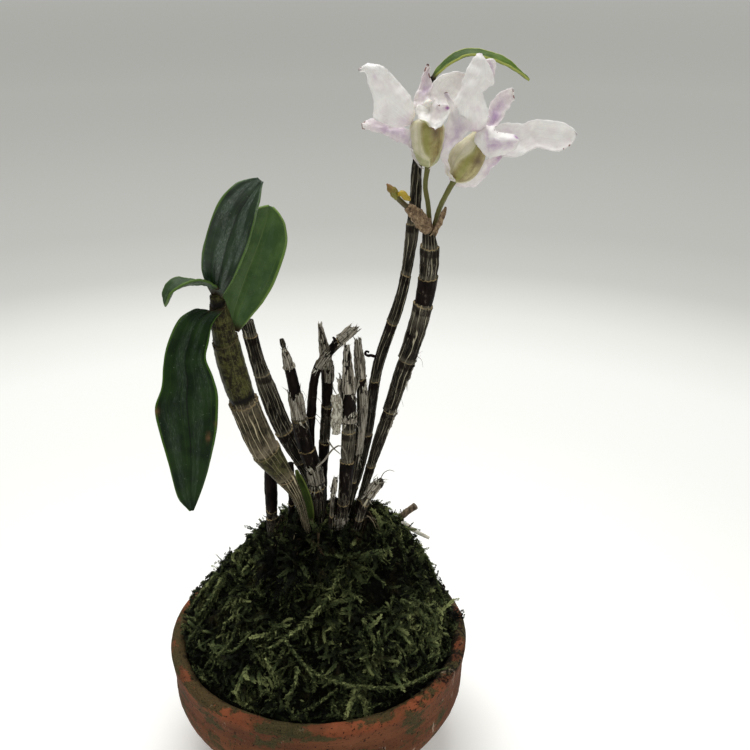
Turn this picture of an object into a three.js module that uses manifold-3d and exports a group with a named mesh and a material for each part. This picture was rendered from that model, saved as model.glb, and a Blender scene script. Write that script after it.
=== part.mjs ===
// A small orchid, Dendrobium moniliforme, growing from a mound of moss in a shallow terracotta bowl.
// Millimetres, +Z up. The origin is the middle of the bowl's flat underside, +X is the right side
// and -Y is the front, the side from which the flowers and leaves were arranged.
import * as THREE from 'three';
import { mergeVertices } from 'three/addons/utils/BufferGeometryUtils.js';
import Module from 'manifold-3d';

const wasm = await Module();
wasm.setup();

// Driving dimensions
const GAP = 0.3;
const BLADE = 0.7;
const PETAL = 0.6;
const PINCH = 0.86;
const POT = {
  height: 36,
  rimRadius: 40,
  wall: 4,
  footRadius: 22,
  floor: 4.5,
  sides: 48,
  lipSteps: 5,
  holes: 3,
  holeRadius: 2.5,
  holeRing: 11,
};
const MEDIUM_TOP = 29.5;
const MOUND = {
  radius: 35.3,
  peak: 36,
  peakX: 7,
  peakY: 4,
  edgeLift: 3,
  edgeTilt: 3.5,
  relief: 1.1,
  rings: 13,
  sides: 46,
};

// Finishes
const finish = (color, roughness) => new THREE.MeshStandardMaterial({ color, roughness, metalness: 0 });
const TERRACOTTA = finish(0x8a4a32, 0.85);
const SOIL = finish(0x2e2219, 0.95);
const MOSS = finish(0x3a4720, 0.95);
const RHIZOME = finish(0x3b3126, 0.85);
const DARK_CANE = finish(0x352b27, 0.7);
const OLIVE_CANE = finish(0x5f5a33, 0.55);
const PAPERY = finish(0xa9a294, 0.85);
const LEAF = finish(0x243f1d, 0.35);
const PETAL_WHITE = finish(0xe4dfdc, 0.5);
const SEPAL_LAVENDER = finish(0xd3c6d6, 0.5);
const CHIN_OLIVE = finish(0x9a9a5c, 0.5);
const PEDICEL = finish(0x5f6437, 0.55);
const DRIED = finish(0x8b6a3a, 0.8);
const ROOT = finish(0xc9c7b4, 0.8);

// Solids and meshes

const vector = ([x, y, z]) => new THREE.Vector3(x, y, z);

function solid(geometry) {
  geometry.deleteAttribute('normal');
  geometry.deleteAttribute('uv');
  const merged = mergeVertices(geometry, 1e-4);
  return new wasm.Manifold(new wasm.Mesh({
    numProp: 3,
    vertProperties: Float32Array.from(merged.attributes.position.array),
    triVerts: Uint32Array.from(merged.index.array),
  }));
}

function largestBody(manifold) {
  const bodies = manifold.decompose();
  return bodies.reduce((best, body) => (body.volume() > best.volume() ? body : best));
}

const plant = new THREE.Group();

// Adds a piece to the model. A piece that meets others is trimmed so that it keeps GAP to them.
function add(name, material, shape, neighbours = []) {
  let body = shape(0);
  for (const neighbour of neighbours) {
    body = body.subtract(neighbour(GAP));
  }
  const { vertProperties, triVerts } = largestBody(body).getMesh();
  const geometry = new THREE.BufferGeometry();
  geometry.setAttribute('position', new THREE.BufferAttribute(vertProperties, 3));
  geometry.setIndex(new THREE.BufferAttribute(triVerts, 1));
  geometry.computeVertexNormals();
  const mesh = new THREE.Mesh(geometry, material);
  mesh.name = name;
  plant.add(mesh);
}

// Reads a list of [place, value, value...] rows at a place between 0 and 1, easing between rows.
function readTable(rows, place) {
  const next = Math.max(1, rows.findIndex((row) => row[0] >= place));
  const [before, after] = [rows[next - 1], rows[next]];
  const share = THREE.MathUtils.smoothstep(place, before[0], after[0]);
  return before.slice(1).map((value, i) => THREE.MathUtils.lerp(value, after[i + 1], share));
}

// A round stem along a curve: a lathed rod, bent vertex by vertex. The girth rows are [place, radius].
// A jointed stem has two rings to a joint, every other one pinched in.
function stem({ route, girth, sides = 8, joints = 0, rings = 2 * joints }, grow = 0) {
  const curve = new THREE.CatmullRomCurve3(route.map(vector), false, 'centripetal');
  const profile = [new THREE.Vector2(0, 0)];
  for (let ring = 0; ring <= rings; ring += 1) {
    const pinch = joints > 0 && ring % 2 === 0 ? PINCH : 1;
    profile.push(new THREE.Vector2(readTable(girth, ring / rings)[0] * pinch + grow, ring / rings));
  }
  profile.push(new THREE.Vector2(0, 1));
  const geometry = new THREE.LatheGeometry(profile, sides);
  const { tangents, normals, binormals } = curve.computeFrenetFrames(rings);
  const { position } = geometry.attributes;
  for (let i = 0; i < position.count; i += 1) {
    const place = position.getY(i);
    const ring = Math.round(place * rings);
    const overshoot = (place === 1 ? grow : 0) - (place === 0 ? grow : 0);
    const point = curve.getPointAt(place)
      .addScaledVector(normals[ring], position.getX(i))
      .addScaledVector(binormals[ring], -position.getZ(i))
      .addScaledVector(tangents[ring], overshoot);
    position.setXYZ(i, point.x, point.y, point.z);
  }
  return solid(geometry);
}

// A leaf, petal or sepal: a thin sheet along a route, with its upper face turned towards facing.
// The edges rows are [place, left half-width, right half-width]; curl is the angle through which
// each edge rolls towards the upper face, and wave is how far the edges rise and fall.
function blade({
  route, edges, facing, curl = 0.3, wave = 0, waves = 2, thickness = PETAL, rows = 9, columns = 4,
}, grow = 0) {
  const curve = new THREE.CatmullRomCurve3(route.map(vector), false, 'centripetal');
  const [towardsBase, towardsTip] = [facing[0], facing[facing.length - 1]].map(vector);
  const place = (along, across, side) => {
    const tangent = curve.getTangentAt(along);
    const up = towardsBase.clone().lerp(towardsTip, along);
    up.addScaledVector(tangent, -up.dot(tangent)).normalize();
    const right = new THREE.Vector3().crossVectors(tangent, up);
    const half = readTable(edges, along)[across < 0 ? 0 : 1] + grow;
    const angle = curl * across;
    const lift = wave * across ** 2 * Math.sin(2 * Math.PI * waves * along + across);
    const overshoot = (along === 1 ? grow : 0) - (along === 0 ? grow : 0);
    return curve.getPointAt(along)
      .addScaledVector(tangent, overshoot)
      .addScaledVector(right, half * Math.sin(angle) / curl)
      .addScaledVector(up, half * (1 - Math.cos(angle)) / curl + lift)
      .addScaledVector(up, side * (thickness / 2 + grow) * Math.cos(angle))
      .addScaledVector(right, -side * (thickness / 2 + grow) * Math.sin(angle));
  };
  return solid(thickSheet(columns, rows, place));
}

// A closed sheet whose two faces are split into triangles alike. place gives the point at
// (along 0..1, across -1..1) on the upper face, side 1, or the under face, side -1.
function thickSheet(columns, rows, place) {
  const points = [];
  const index = [];
  const perFace = (columns + 1) * (rows + 1);
  for (const side of [1, -1]) {
    for (let row = 0; row <= rows; row += 1) {
      for (let column = 0; column <= columns; column += 1) {
        points.push(place(row / rows, 2 * column / columns - 1, side));
      }
    }
  }
  const at = (row, column) => row * (columns + 1) + column;
  for (let row = 0; row < rows; row += 1) {
    for (let column = 0; column < columns; column += 1) {
      const corners = [at(row, column), at(row, column + 1), at(row + 1, column + 1), at(row + 1, column)];
      const [a, b, c, d] = corners;
      index.push(a, b, c, a, c, d);
      index.push(...[c, b, a, d, c, a].map((corner) => corner + perFace));
    }
  }
  const rim = [];
  for (let column = 0; column < columns; column += 1) rim.push(at(0, column));
  for (let row = 0; row < rows; row += 1) rim.push(at(row, columns));
  for (let column = columns; column > 0; column -= 1) rim.push(at(rows, column));
  for (let row = rows; row > 0; row -= 1) rim.push(at(row, 0));
  rim.forEach((from, i) => {
    const to = rim[(i + 1) % rim.length];
    index.push(to, from, from + perFace, to, from + perFace, to + perFace);
  });
  const geometry = new THREE.BufferGeometry().setFromPoints(points);
  geometry.setIndex(index);
  return geometry;
}

// A body turned about the Z axis from an outline of [radius, height] corners.
function turned(outline, sides) {
  const profile = outline.map(([radius, height]) => new THREE.Vector2(radius, height));
  return new THREE.LatheGeometry(profile, sides).rotateX(Math.PI / 2);
}

// The terracotta bowl, with a rounded lip and three drain holes round its middle

const bowlOutside = [
  [POT.footRadius, 0],
  [25.2, 4],
  [31, 10],
  [36.2, 15.5],
  [38.7, 21],
  [39, 28],
  [39.7, 33],
];
const bowlInside = [
  [35.6, 31],
  [34.9, 22],
  [32, 15.5],
  [26.5, 9],
  [20, POT.floor],
];

function bowl() {
  const lipMiddle = POT.rimRadius - POT.wall / 2;
  const lip = [];
  for (let step = 0; step <= POT.lipSteps; step += 1) {
    const angle = Math.PI * step / POT.lipSteps;
    const radius = lipMiddle + POT.wall / 2 * Math.cos(angle);
    lip.push([radius, POT.height - 1.5 + 1.5 * Math.sin(angle)]);
  }
  const outline = [[0, 0], ...bowlOutside, ...lip, ...bowlInside, [0, POT.floor]];
  let body = solid(turned(outline, POT.sides));
  for (let hole = 0; hole < POT.holes; hole += 1) {
    const angle = 2 * Math.PI * hole / POT.holes;
    const drill = new THREE.CylinderGeometry(POT.holeRadius, POT.holeRadius, POT.floor * 3, 12);
    drill.rotateX(Math.PI / 2);
    drill.translate(POT.holeRing * Math.cos(angle), POT.holeRing * Math.sin(angle), 0);
    body = body.subtract(solid(drill));
  }
  return body;
}

// The growing medium fills the bowl up to just under the moss
function growingMedium() {
  const side = bowlInside
    .filter(([, height]) => height < MEDIUM_TOP)
    .map(([radius, height]) => [radius - 1.5 * GAP, height + GAP])
    .reverse();
  const top = [bowlInside[0][0] - 2 * GAP, MEDIUM_TOP];
  return solid(turned([[0, POT.floor + GAP], ...side, top, [0, MEDIUM_TOP]], POT.sides));
}

// Height of the moss at a place: a dome that rises steeply from front and back, rounder to the
// sides, with its peak right of the middle, and with its rim a little higher at the back.
function mossHeight(x, y) {
  const inwards = 1 - Math.min(1, (x ** 2 + y ** 2) / MOUND.radius ** 2);
  const [dx, dy] = [x - MOUND.peakX * inwards, y - MOUND.peakY * inwards];
  const reach = Math.min(1, Math.hypot(dx, dy) / MOUND.radius);
  const sideways = dx ** 2 / (dx ** 2 + dy ** 2 + 1e-6);
  const edge = MOUND.edgeLift + MOUND.edgeTilt * y / MOUND.radius;
  return POT.height + edge + (MOUND.peak - edge) * (1 - reach ** (1.3 + 0.9 * sideways));
}

// The tufts of the moss, larger than life, as lumps of its surface
function mossRelief(x, y) {
  const lumps = Math.sin(0.62 * x + 1.5 * Math.sin(0.33 * y)) * Math.cos(0.55 * y + 1.2 * Math.sin(0.4 * x));
  const tufts = Math.sin(1.35 * x + 0.8 * y) * Math.sin(1.2 * y - 0.7 * x);
  return MOUND.relief * (lumps + 0.6 * tufts);
}

function mossMound() {
  const outline = [[0, MEDIUM_TOP + GAP], [MOUND.radius, MEDIUM_TOP + GAP]];
  for (let ring = 0; ring <= MOUND.rings; ring += 1) {
    outline.push([MOUND.radius * (1 - ring / MOUND.rings), MEDIUM_TOP + 2]);
  }
  const geometry = turned(outline, MOUND.sides);
  const { position } = geometry.attributes;
  for (let i = 0; i < position.count; i += 1) {
    if (position.getZ(i) > MEDIUM_TOP + 1) {
      const [x, y] = [position.getX(i), position.getY(i)];
      position.setZ(i, mossHeight(x, y) + mossRelief(x, y));
    }
  }
  return solid(geometry);
}

// The creeping rootstock that the canes stand on, inside the moss, with its roots

const ROOTSTOCK = {
  route: [[-12, 1, 56.5], [-5, 1, 60], [2, 2, 61.5], [8, 1.5, 61.5], [13, 0, 59.5]],
  girth: [[0, 1.2], [0.3, 2], [0.7, 2], [1, 1.2]],
  rings: 8,
};
const ROOTS = [
  { from: [-9, 1, 58], through: [-15, -6, 46], to: [-20, -10, 30] },
  { from: [-5, 2, 60], through: [-9, 10, 46], to: [-12, 16, 26] },
  { from: [1, 1, 61], through: [2, -6, 44], to: [1, -12, 22] },
  { from: [6, 2, 61], through: [9, 9, 46], to: [10, 15, 24] },
  { from: [11, 1, 60], through: [18, -3, 46], to: [22, -6, 28] },
];

function rootstock(grow) {
  let body = stem(ROOTSTOCK, grow);
  for (const { from, through, to } of ROOTS) {
    const root = { route: [from, through, to], girth: [[0, 0.9], [1, 0.6]], sides: 6, rings: 5 };
    body = body.add(stem(root, grow));
  }
  return body;
}

// The canes: each a row of swollen joints, narrow at its foot. The routes run upwards.

const CANES = {
  cane_leafy: {
    route: [[-1.5, -4, 63.5], [-5, -4.5, 80], [-12.4, -5.5, 94.7], [-18, -6, 113.5], [-21.2, -6.5, 134]],
    girth: [[0, 1.1], [0.22, 1.6], [0.43, 4], [0.62, 3.5], [0.78, 3.4], [0.92, 2.3], [1, 1.2]],
    joints: 7,
    sides: 9,
    material: OLIVE_CANE,
  },
  cane_striped: {
    route: [[1.2, 8, 62.5], [-2.2, 8, 79], [-8.6, 8, 93], [-13.6, 8, 109], [-15.8, 8, 123]],
    girth: [[0, 1.3], [0.25, 1.9], [0.5, 2.3], [0.75, 2.2], [1, 1.8]],
    joints: 5,
  },
  cane_tapered: {
    route: [[0.9, 1, 64.5], [-0.2, 1, 83], [-2.8, 1, 93.5], [-5.1, 1, 110], [-7.3, 1, 120]],
    girth: [[0, 2], [0.15, 2.1], [0.55, 2.4], [0.8, 1.8], [0.92, 0.9], [1, 0.5]],
    joints: 6,
  },
  cane_bent: {
    route: [[-2, 5, 63], [-1.2, 4.6, 82], [-0.9, 4.2, 97], [1, 3.4, 111], [5, 2.8, 117], [9.8, 2, 122]],
    girth: [[0, 1], [1, 1.2]],
    joints: 6,
  },
  cane_papery: {
    route: [[1.4, 4.9, 63.5], [1.8, 5, 83], [3, 5.6, 100], [3.2, 6.4, 110], [1.8, 7, 121]],
    girth: [[0, 1], [0.5, 1.3], [0.75, 1.6], [0.92, 1.1], [1, 0.4]],
    joints: 5,
  },
  cane_frayed: {
    route: [[5.8, -2.5, 64.5], [7.9, -2.5, 84], [8.8, -2, 101], [8.5, -2, 119.5]],
    girth: [[0, 1.2], [0.35, 1.75], [0.7, 1.75], [0.9, 1.2], [1, 0.5]],
    joints: 5,
  },
  cane_rear: {
    route: [[6.9, 2, 64.5], [9.5, 1.6, 81], [11.9, 2, 101], [11.1, 2, 119]],
    girth: [[0, 1.1], [0.4, 1.3], [0.75, 1.6], [1, 0.5]],
    joints: 4,
  },
  cane_slender: {
    route: [
      [6, 6.4, 63], [12.6, 5.2, 89], [16, 5.8, 111], [22, 6.8, 131], [24.6, 7.7, 152], [24.9, 8.2, 161],
      [28.2, 9, 179],
    ],
    girth: [[0, 1.1], [0.3, 1.55], [0.6, 1.45], [0.7, 1.6], [0.86, 1.05], [1, 0.6]],
    joints: 9,
  },
  cane_flowering: {
    route: [[9.1, 3, 64.5], [14.3, 2.4, 85], [20.5, 2.1, 106], [26.3, 1.6, 127], [27.8, 1, 138], [27.5, 0.6, 148]],
    girth: [[0, 1], [0.25, 1.2], [0.5, 2.1], [0.72, 2.5], [0.9, 2.4], [1, 1.4]],
    joints: 9,
  },
  cane_old_left: {
    route: [[-12, 4, 56], [-11.9, 4, 72], [-11.8, 4, 85.5]],
    girth: [[0, 1.5], [0.6, 1.7], [1, 1.3]],
    joints: 3,
  },
  cane_old_thin: {
    route: [[-7.2, 5.6, 60], [-6.6, 5, 76], [-6.5, 4.6, 84]],
    girth: [[0, 0.9], [1, 0.9]],
    joints: 3,
  },
  stub_right: {
    route: [[9, -3, 64], [13.4, -4, 79], [16.8, -4.5, 84.5]],
    girth: [[0, 1.1], [0.8, 1.2], [1, 0.7]],
    joints: 3,
    material: PAPERY,
  },
  stub_front: {
    route: [[3.3, -5, 64], [4.7, -4.6, 80], [5.4, -4.5, 85]],
    girth: [[0, 0.7], [0.8, 0.8], [1, 0.4]],
    joints: 3,
    material: PAPERY,
  },
};

// Leaves. The upper face looks towards facing, given at the base and at the tip.

const LEAVES = {
  leaf_upright: {
    route: [[-20.9, -6.6, 133.6], [-19.6, -8, 140], [-17.2, -8.5, 147.5], [-14.1, -8, 154.5], [-9.6, -5, 159.8]],
    edges: [[0, 1.3, 1.3], [0.2, 4, 3.7], [0.5, 5.1, 5], [0.8, 4, 3.4], [0.93, 2, 1.6], [1, 0.4, 0.4]],
    facing: [[-0.3, -1, 0.2], [0.1, -1, 0.5]],
    curl: 0.45,
    thickness: BLADE,
  },
  leaf_broad: {
    route: [[-18.6, -4.4, 125.4], [-17.2, -2.5, 131], [-14.4, -1, 137.5], [-11.6, 0, 144], [-8.6, 2, 152.3]],
    edges: [[0, 1.8, 2], [0.18, 5, 5.2], [0.5, 6.4, 7], [0.75, 5.9, 6.6], [0.92, 3.6, 4], [1, 1, 1]],
    facing: [[0.1, -1, 0.4], [0.1, -1, 0.5]],
    curl: 0.5,
    thickness: BLADE,
  },
  leaf_small: {
    route: [[-20.6, -6.8, 136.2], [-24, -8.5, 138.2], [-27.2, -10, 138.6], [-30, -11, 137.8], [-31.8, -12, 134.4]],
    edges: [[0, 0.9, 0.9], [0.3, 2.6, 2.6], [0.65, 3, 3], [0.9, 1.8, 1.8], [1, 0.4, 0.4]],
    facing: [[0, 0.3, 1], [-0.8, -0.3, 0.6]],
    curl: 0.5,
    thickness: BLADE,
    rows: 8,
  },
  leaf_hanging: {
    route: [
      [-20, -6.4, 129.6], [-23, -9, 130.2], [-25.6, -11, 126.8], [-27.6, -12.4, 119], [-28.3, -13.4, 107],
      [-28.6, -13.6, 94.5], [-29, -12.6, 80],
    ],
    edges: [
      [0, 1.3, 1.3], [0.12, 2.4, 2.4], [0.3, 5.2, 4.8], [0.5, 7.1, 6.7], [0.7, 7.1, 6.7], [0.88, 4.8, 4.5],
      [0.97, 2.2, 2.2], [1, 0.6, 0.6],
    ],
    facing: [[0, -0.4, 1], [-0.9, -0.6, 0.6], [-0.1, -1, 0.2]],
    curl: 0.35,
    thickness: BLADE,
    rows: 12,
  },
  leaf_top: {
    route: [[28.2, 9, 179.7], [30, 9, 182], [33.2, 8.5, 184.6], [36.8, 8, 185.6], [43.8, 7, 183.8], [49.4, 7, 179.8]],
    edges: [[0, 0.8, 0.8], [0.25, 1.9, 1.9], [0.6, 2, 2], [0.9, 1.2, 1.2], [1, 0.4, 0.4]],
    facing: [[-0.3, -0.2, 1], [0.4, -0.2, 1]],
    curl: 0.4,
    thickness: BLADE,
    columns: 2,
  },
  new_shoot: {
    route: [[-0.6, -1.6, 66], [-1.4, -1.6, 76], [-4.5, -1.4, 85.4]],
    edges: [[0, 0.5, 0.5], [0.5, 1, 1], [0.8, 0.8, 0.8], [1, 0.3, 0.3]],
    facing: [[0.1, -1, 0.3]],
    curl: 0.5,
    thickness: BLADE,
    rows: 6,
    columns: 2,
  },
};

// The flower stalks and the dry scales at the top of the flowering cane

const STALKS = {
  pedicel_left: {
    route: [[27.8, 0.4, 146.5], [27.3, 1, 152.7], [26.6, 2, 157], [26.8, 2.2, 161]],
    girth: [[0, 0.7], [0.3, 0.55], [1, 0.6]],
    sides: 6,
    rings: 7,
  },
  pedicel_right: {
    route: [[28.4, -0.4, 146.5], [29.6, -1.5, 152.4], [30.8, -2.4, 155.6], [32.4, -2.9, 159.2]],
    girth: [[0, 0.7], [0.4, 0.6], [1, 0.65]],
    sides: 6,
    rings: 7,
  },
};
const BRACT = {
  route: [[28.2, -0.8, 146.4], [29.6, -2.6, 149.8], [30.9, -3.2, 153.6]],
  edges: [[0, 0.8, 0.8], [0.6, 0.8, 0.8], [1, 0.3, 0.3]],
  facing: [[0.6, -1, 0.2]],
  curl: 0.7,
  rows: 5,
  columns: 2,
};
const SPENT_BUD = {
  route: [[27.4, -1, 147.5], [24.4, -2.8, 151.8], [21.6, -3.2, 154], [19.8, -3.2, 156], [17.6, -3.2, 157.6]],
  girth: [[0, 1], [0.35, 1.4], [0.6, 0.8], [0.8, 0.8], [1, 0.3]],
  sides: 7,
  rings: 9,
};

// The two flowers. Each has a column with its chin, a lip, three sepals and two petals.

const FLOWERS = {
  flower_left: {
    column: {
      route: [[27.2, 1.6, 161.8], [26.8, 0.4, 165.5], [26.7, 0.4, 169], [26.8, 1, 172.2], [27.5, 1.8, 175.6]],
      girth: [[0, 1], [0.2, 2.7], [0.45, 3.5], [0.6, 3.2], [0.72, 1.7], [0.9, 1.1], [1, 0.9]],
      rings: 10,
    },
    lip: {
      route: [[26.9, -2, 172.2], [27.6, -2.8, 174.2], [28.4, -4.4, 174.2], [28.4, -5.4, 170.8]],
      edges: [[0, 1.6, 1.6], [0.3, 3.4, 3.4], [0.65, 3.8, 3.8], [0.88, 2, 2], [1, 0.4, 0.4]],
      facing: [[0, 0.9, 0.6], [0, -0.6, 1]],
      curl: 0.8,
      wave: 0.3,
    },
    dorsal_sepal: {
      route: [[25.8, 2.2, 171], [25, 4.2, 175.6], [25.6, 5, 179], [26.6, 4.6, 183.2]],
      edges: [[0, 1, 1], [0.3, 1.9, 1.9], [0.6, 1.4, 1.4], [0.85, 0.6, 0.6], [1, 0.3, 0.3]],
      facing: [[0.2, -1, 0.2]],
      curl: 0.7,
    },
    petal_left: {
      route: [[25.6, 1, 171.6], [20.4, -0.4, 174.8], [17.2, -1, 179], [14.8, -1.4, 182], [12, -1.4, 183.3]],
      edges: [[0, 0.9, 0.9], [0.25, 5, 4.6], [0.45, 4.4, 4], [0.7, 3.2, 2.6], [0.9, 0.9, 0.9], [1, 0.3, 0.3]],
      facing: [[0.1, -1, 0.3]],
      curl: 0.6,
      wave: 0.5,
    },
    petal_right: {
      route: [[27.6, 2.4, 171.4], [30.4, 4.2, 176], [32.6, 4.8, 179], [34.4, 5, 182]],
      edges: [[0, 0.9, 0.9], [0.3, 3.6, 3.6], [0.6, 3.8, 3.8], [0.9, 1.6, 1.6], [1, 0.4, 0.4]],
      facing: [[-0.1, -1, 0.3]],
      curl: 0.5,
      wave: 0.4,
    },
    sepal_left: {
      route: [[25, 0.2, 164], [22, 0.6, 168.6], [17.4, 1.4, 170.2], [12.2, 2, 171]],
      edges: [[0, 1.6, 1.6], [0.3, 2.4, 2.2], [0.6, 2, 1.6], [0.88, 0.8, 0.8], [1, 0.3, 0.3]],
      facing: [[-0.5, -1, 0.3], [0, -1, 0.5]],
      curl: 0.5,
      wave: 0.4,
    },
    sepal_right: {
      route: [[28.6, 0.8, 164], [31, 3, 168.4], [35, 4, 170], [39, 4.4, 169.6]],
      edges: [[0, 1.6, 1.6], [0.3, 2.2, 2.4], [0.6, 1.8, 2], [0.88, 0.8, 0.8], [1, 0.3, 0.3]],
      facing: [[0.5, -1, 0.3], [0, -1, 0.5]],
      curl: 0.5,
      wave: 0.4,
    },
  },
  flower_right: {
    column: {
      route: [[32.6, -3, 160], [33.8, -3, 163], [35.8, -3.4, 166.8], [37.6, -3.4, 170], [39.4, -3.4, 172]],
      girth: [[0, 1.2], [0.3, 3.2], [0.55, 2.6], [0.75, 1.4], [1, 0.8]],
      rings: 10,
    },
    lip: {
      route: [[36.4, -6.2, 166], [39.4, -7.4, 166.6], [42.6, -7.8, 167.2], [45.6, -8, 168.2]],
      edges: [[0, 1.6, 1.6], [0.35, 4.2, 4.6], [0.7, 3.8, 4], [0.9, 2.2, 2.2], [1, 0.6, 0.6]],
      facing: [[-0.2, 0.8, 0.7]],
      curl: 1.1,
      wave: 0.3,
      thickness: BLADE,
    },
    dorsal_sepal: {
      route: [[38.4, -1.8, 169.4], [40.8, 0, 173], [43, 1, 176], [45.4, 1, 178.7]],
      edges: [[0, 1, 1], [0.4, 2, 2], [0.75, 1.9, 1.9], [0.93, 1, 1], [1, 0.4, 0.4]],
      facing: [[0.3, -1, 0.2]],
      curl: 0.6,
    },
    petal_left: {
      route: [[36.2, -5.4, 168.6], [35.4, -6.4, 173], [35.6, -6.6, 178], [36.8, -6.2, 182.6], [36.9, -5.4, 186.9]],
      edges: [
        [0, 1.4, 1.4], [0.15, 4, 4], [0.3, 4, 3.9], [0.48, 2.6, 2.6], [0.65, 3.4, 3.8], [0.82, 2.3, 2.3],
        [1, 0.4, 0.4],
      ],
      facing: [[0.3, -1, 0.2]],
      curl: 0.5,
      wave: 0.5,
    },
    petal_right: {
      route: [[39.6, -2.4, 168], [45, -1.6, 168], [50.2, -1.2, 169], [54.6, -1.4, 169.5], [59, -2, 169.2]],
      edges: [[0, 1, 1], [0.25, 3.4, 3.2], [0.5, 2.8, 3], [0.75, 3.8, 3.6], [0.93, 1.8, 1.8], [1, 0.4, 0.4]],
      facing: [[0, -1, 0.4]],
      curl: 0.4,
      wave: 0.5,
      rows: 10,
    },
    sepal_left: {
      route: [[32.6, -6.2, 159.8], [31.4, -7.2, 164], [31.6, -7.2, 168.6], [32.2, -6.6, 173], [30.8, -6.2, 178]],
      edges: [[0, 1.2, 1.4], [0.25, 1.4, 3], [0.55, 1.8, 3], [0.8, 0.9, 0.9], [1, 0.3, 0.3]],
      facing: [[-0.5, -1, 0.2]],
      curl: 0.6,
    },
    sepal_right: {
      route: [[34.6, -0.2, 159.6], [38, -0.4, 160.8], [40.6, -0.6, 163], [42.6, -0.4, 166]],
      edges: [[0, 1, 1], [0.4, 2, 2.2], [0.75, 1.4, 1.6], [1, 0.4, 0.4]],
      facing: [[0.4, -1, 0.4]],
      curl: 0.5,
    },
  },
};

// Loose things on the moss: a broken twig, a stray aerial root, and a scrap of cane skin

const TWIG = {
  route: [[19, 8.4, 60.5], [22.4, 8, 66], [26, 8, 69.2]],
  girth: [[0, 0.8], [1, 0.95]],
  sides: 6,
  rings: 5,
};
const AERIAL_ROOT = {
  route: [[19, 6, 62], [22.8, 5.6, 65.2], [25, 5, 63.8], [27.4, 4.2, 62.8], [29.6, 3.6, 61.9]],
  girth: [[0, 0.6], [1, 0.45]],
  sides: 6,
  rings: 9,
};
const SKIN_SCRAP = {
  route: [[6.6, -3.2, 105], [6, -3.6, 101], [6.4, -3.2, 95.6]],
  edges: [[0, 0.6, 0.8], [0.5, 1.2, 1.2], [1, 0.5, 0.6]],
  facing: [[-0.2, -1, 0.1]],
  curl: 0.5,
  rows: 5,
  columns: 2,
};

// Assembly

const shapes = {};
for (const [name, spec] of Object.entries(CANES)) {
  shapes[name] = (grow) => stem(spec, grow);
}
for (const [name, spec] of Object.entries(LEAVES)) {
  shapes[name] = (grow) => blade(spec, grow);
}
for (const [name, spec] of Object.entries(STALKS)) {
  shapes[name] = (grow) => stem(spec, grow);
}
shapes.twig = (grow) => stem(TWIG, grow);
shapes.aerial_root = (grow) => stem(AERIAL_ROOT, grow);
shapes.skin_scrap = (grow) => blade(SKIN_SCRAP, grow);
shapes.bract = (grow) => blade(BRACT, grow);
shapes.spent_bud = (grow) => stem(SPENT_BUD, grow);
shapes.rootstock = rootstock;

const named = (...names) => names.map((name) => shapes[name]);
const inMoss = named('rootstock', 'new_shoot', 'twig', 'aerial_root', ...Object.keys(CANES));

add('pot', TERRACOTTA, bowl);
add('growing_medium', SOIL, growingMedium, named('rootstock'));
add('moss_mound', MOSS, mossMound, inMoss);
add('rootstock', RHIZOME, rootstock);
for (const [name, spec] of Object.entries(CANES)) {
  add(name, spec.material ?? DARK_CANE, shapes[name], named('rootstock'));
}

add('leaf_upright', LEAF, shapes.leaf_upright, named('cane_leafy'));
add('leaf_broad', LEAF, shapes.leaf_broad, named('cane_leafy', 'leaf_upright'));
add('leaf_small', LEAF, shapes.leaf_small, named('cane_leafy', 'leaf_upright'));
add('leaf_hanging', LEAF, shapes.leaf_hanging, named('cane_leafy', 'leaf_upright', 'leaf_small'));
add('leaf_top', LEAF, shapes.leaf_top, named('cane_slender'));
add('new_shoot', LEAF, shapes.new_shoot, named('rootstock', 'cane_tapered'));

add('pedicel_left', PEDICEL, shapes.pedicel_left, named('cane_flowering'));
add('pedicel_right', PEDICEL, shapes.pedicel_right, named('cane_flowering', 'pedicel_left'));
add('bract', DRIED, shapes.bract, named('cane_flowering', 'pedicel_right', 'pedicel_left'));
add('spent_bud', DRIED, shapes.spent_bud, named('cane_flowering', 'pedicel_left', 'cane_slender', 'bract'));

add('twig', RHIZOME, shapes.twig);
add('aerial_root', ROOT, shapes.aerial_root, named('twig'));
add('skin_scrap', PAPERY, shapes.skin_scrap, named('cane_frayed'));

// Each part of a flower is trimmed to the parts that lie inside it
const FLOWER_ORDER = ['column', 'lip', 'petal_left', 'petal_right', 'sepal_left', 'sepal_right', 'dorsal_sepal'];
const FLOWER_FINISH = {
  column: CHIN_OLIVE,
  lip: PETAL_WHITE,
  petal_left: PETAL_WHITE,
  petal_right: PETAL_WHITE,
  sepal_left: SEPAL_LAVENDER,
  sepal_right: SEPAL_LAVENDER,
  dorsal_sepal: SEPAL_LAVENDER,
};
const around = named('pedicel_left', 'pedicel_right', 'cane_slender', 'leaf_top');
for (const [flower, parts] of Object.entries(FLOWERS)) {
  for (const part of FLOWER_ORDER) {
    const make = part === 'column' ? stem : blade;
    const shape = (grow) => make(parts[part], grow);
    add(`${flower}_${part}`, FLOWER_FINISH[part], shape, around);
    around.push(shape);
  }
}

export default plant;
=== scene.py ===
# A small orchid, Dendrobium moniliforme, in bloom, growing from a mound of moss in a terracotta bowl.
# Shapes are written in millimetres and scaled to metres as each mesh is made. +Z is up, the front is -Y.
import math

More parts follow.
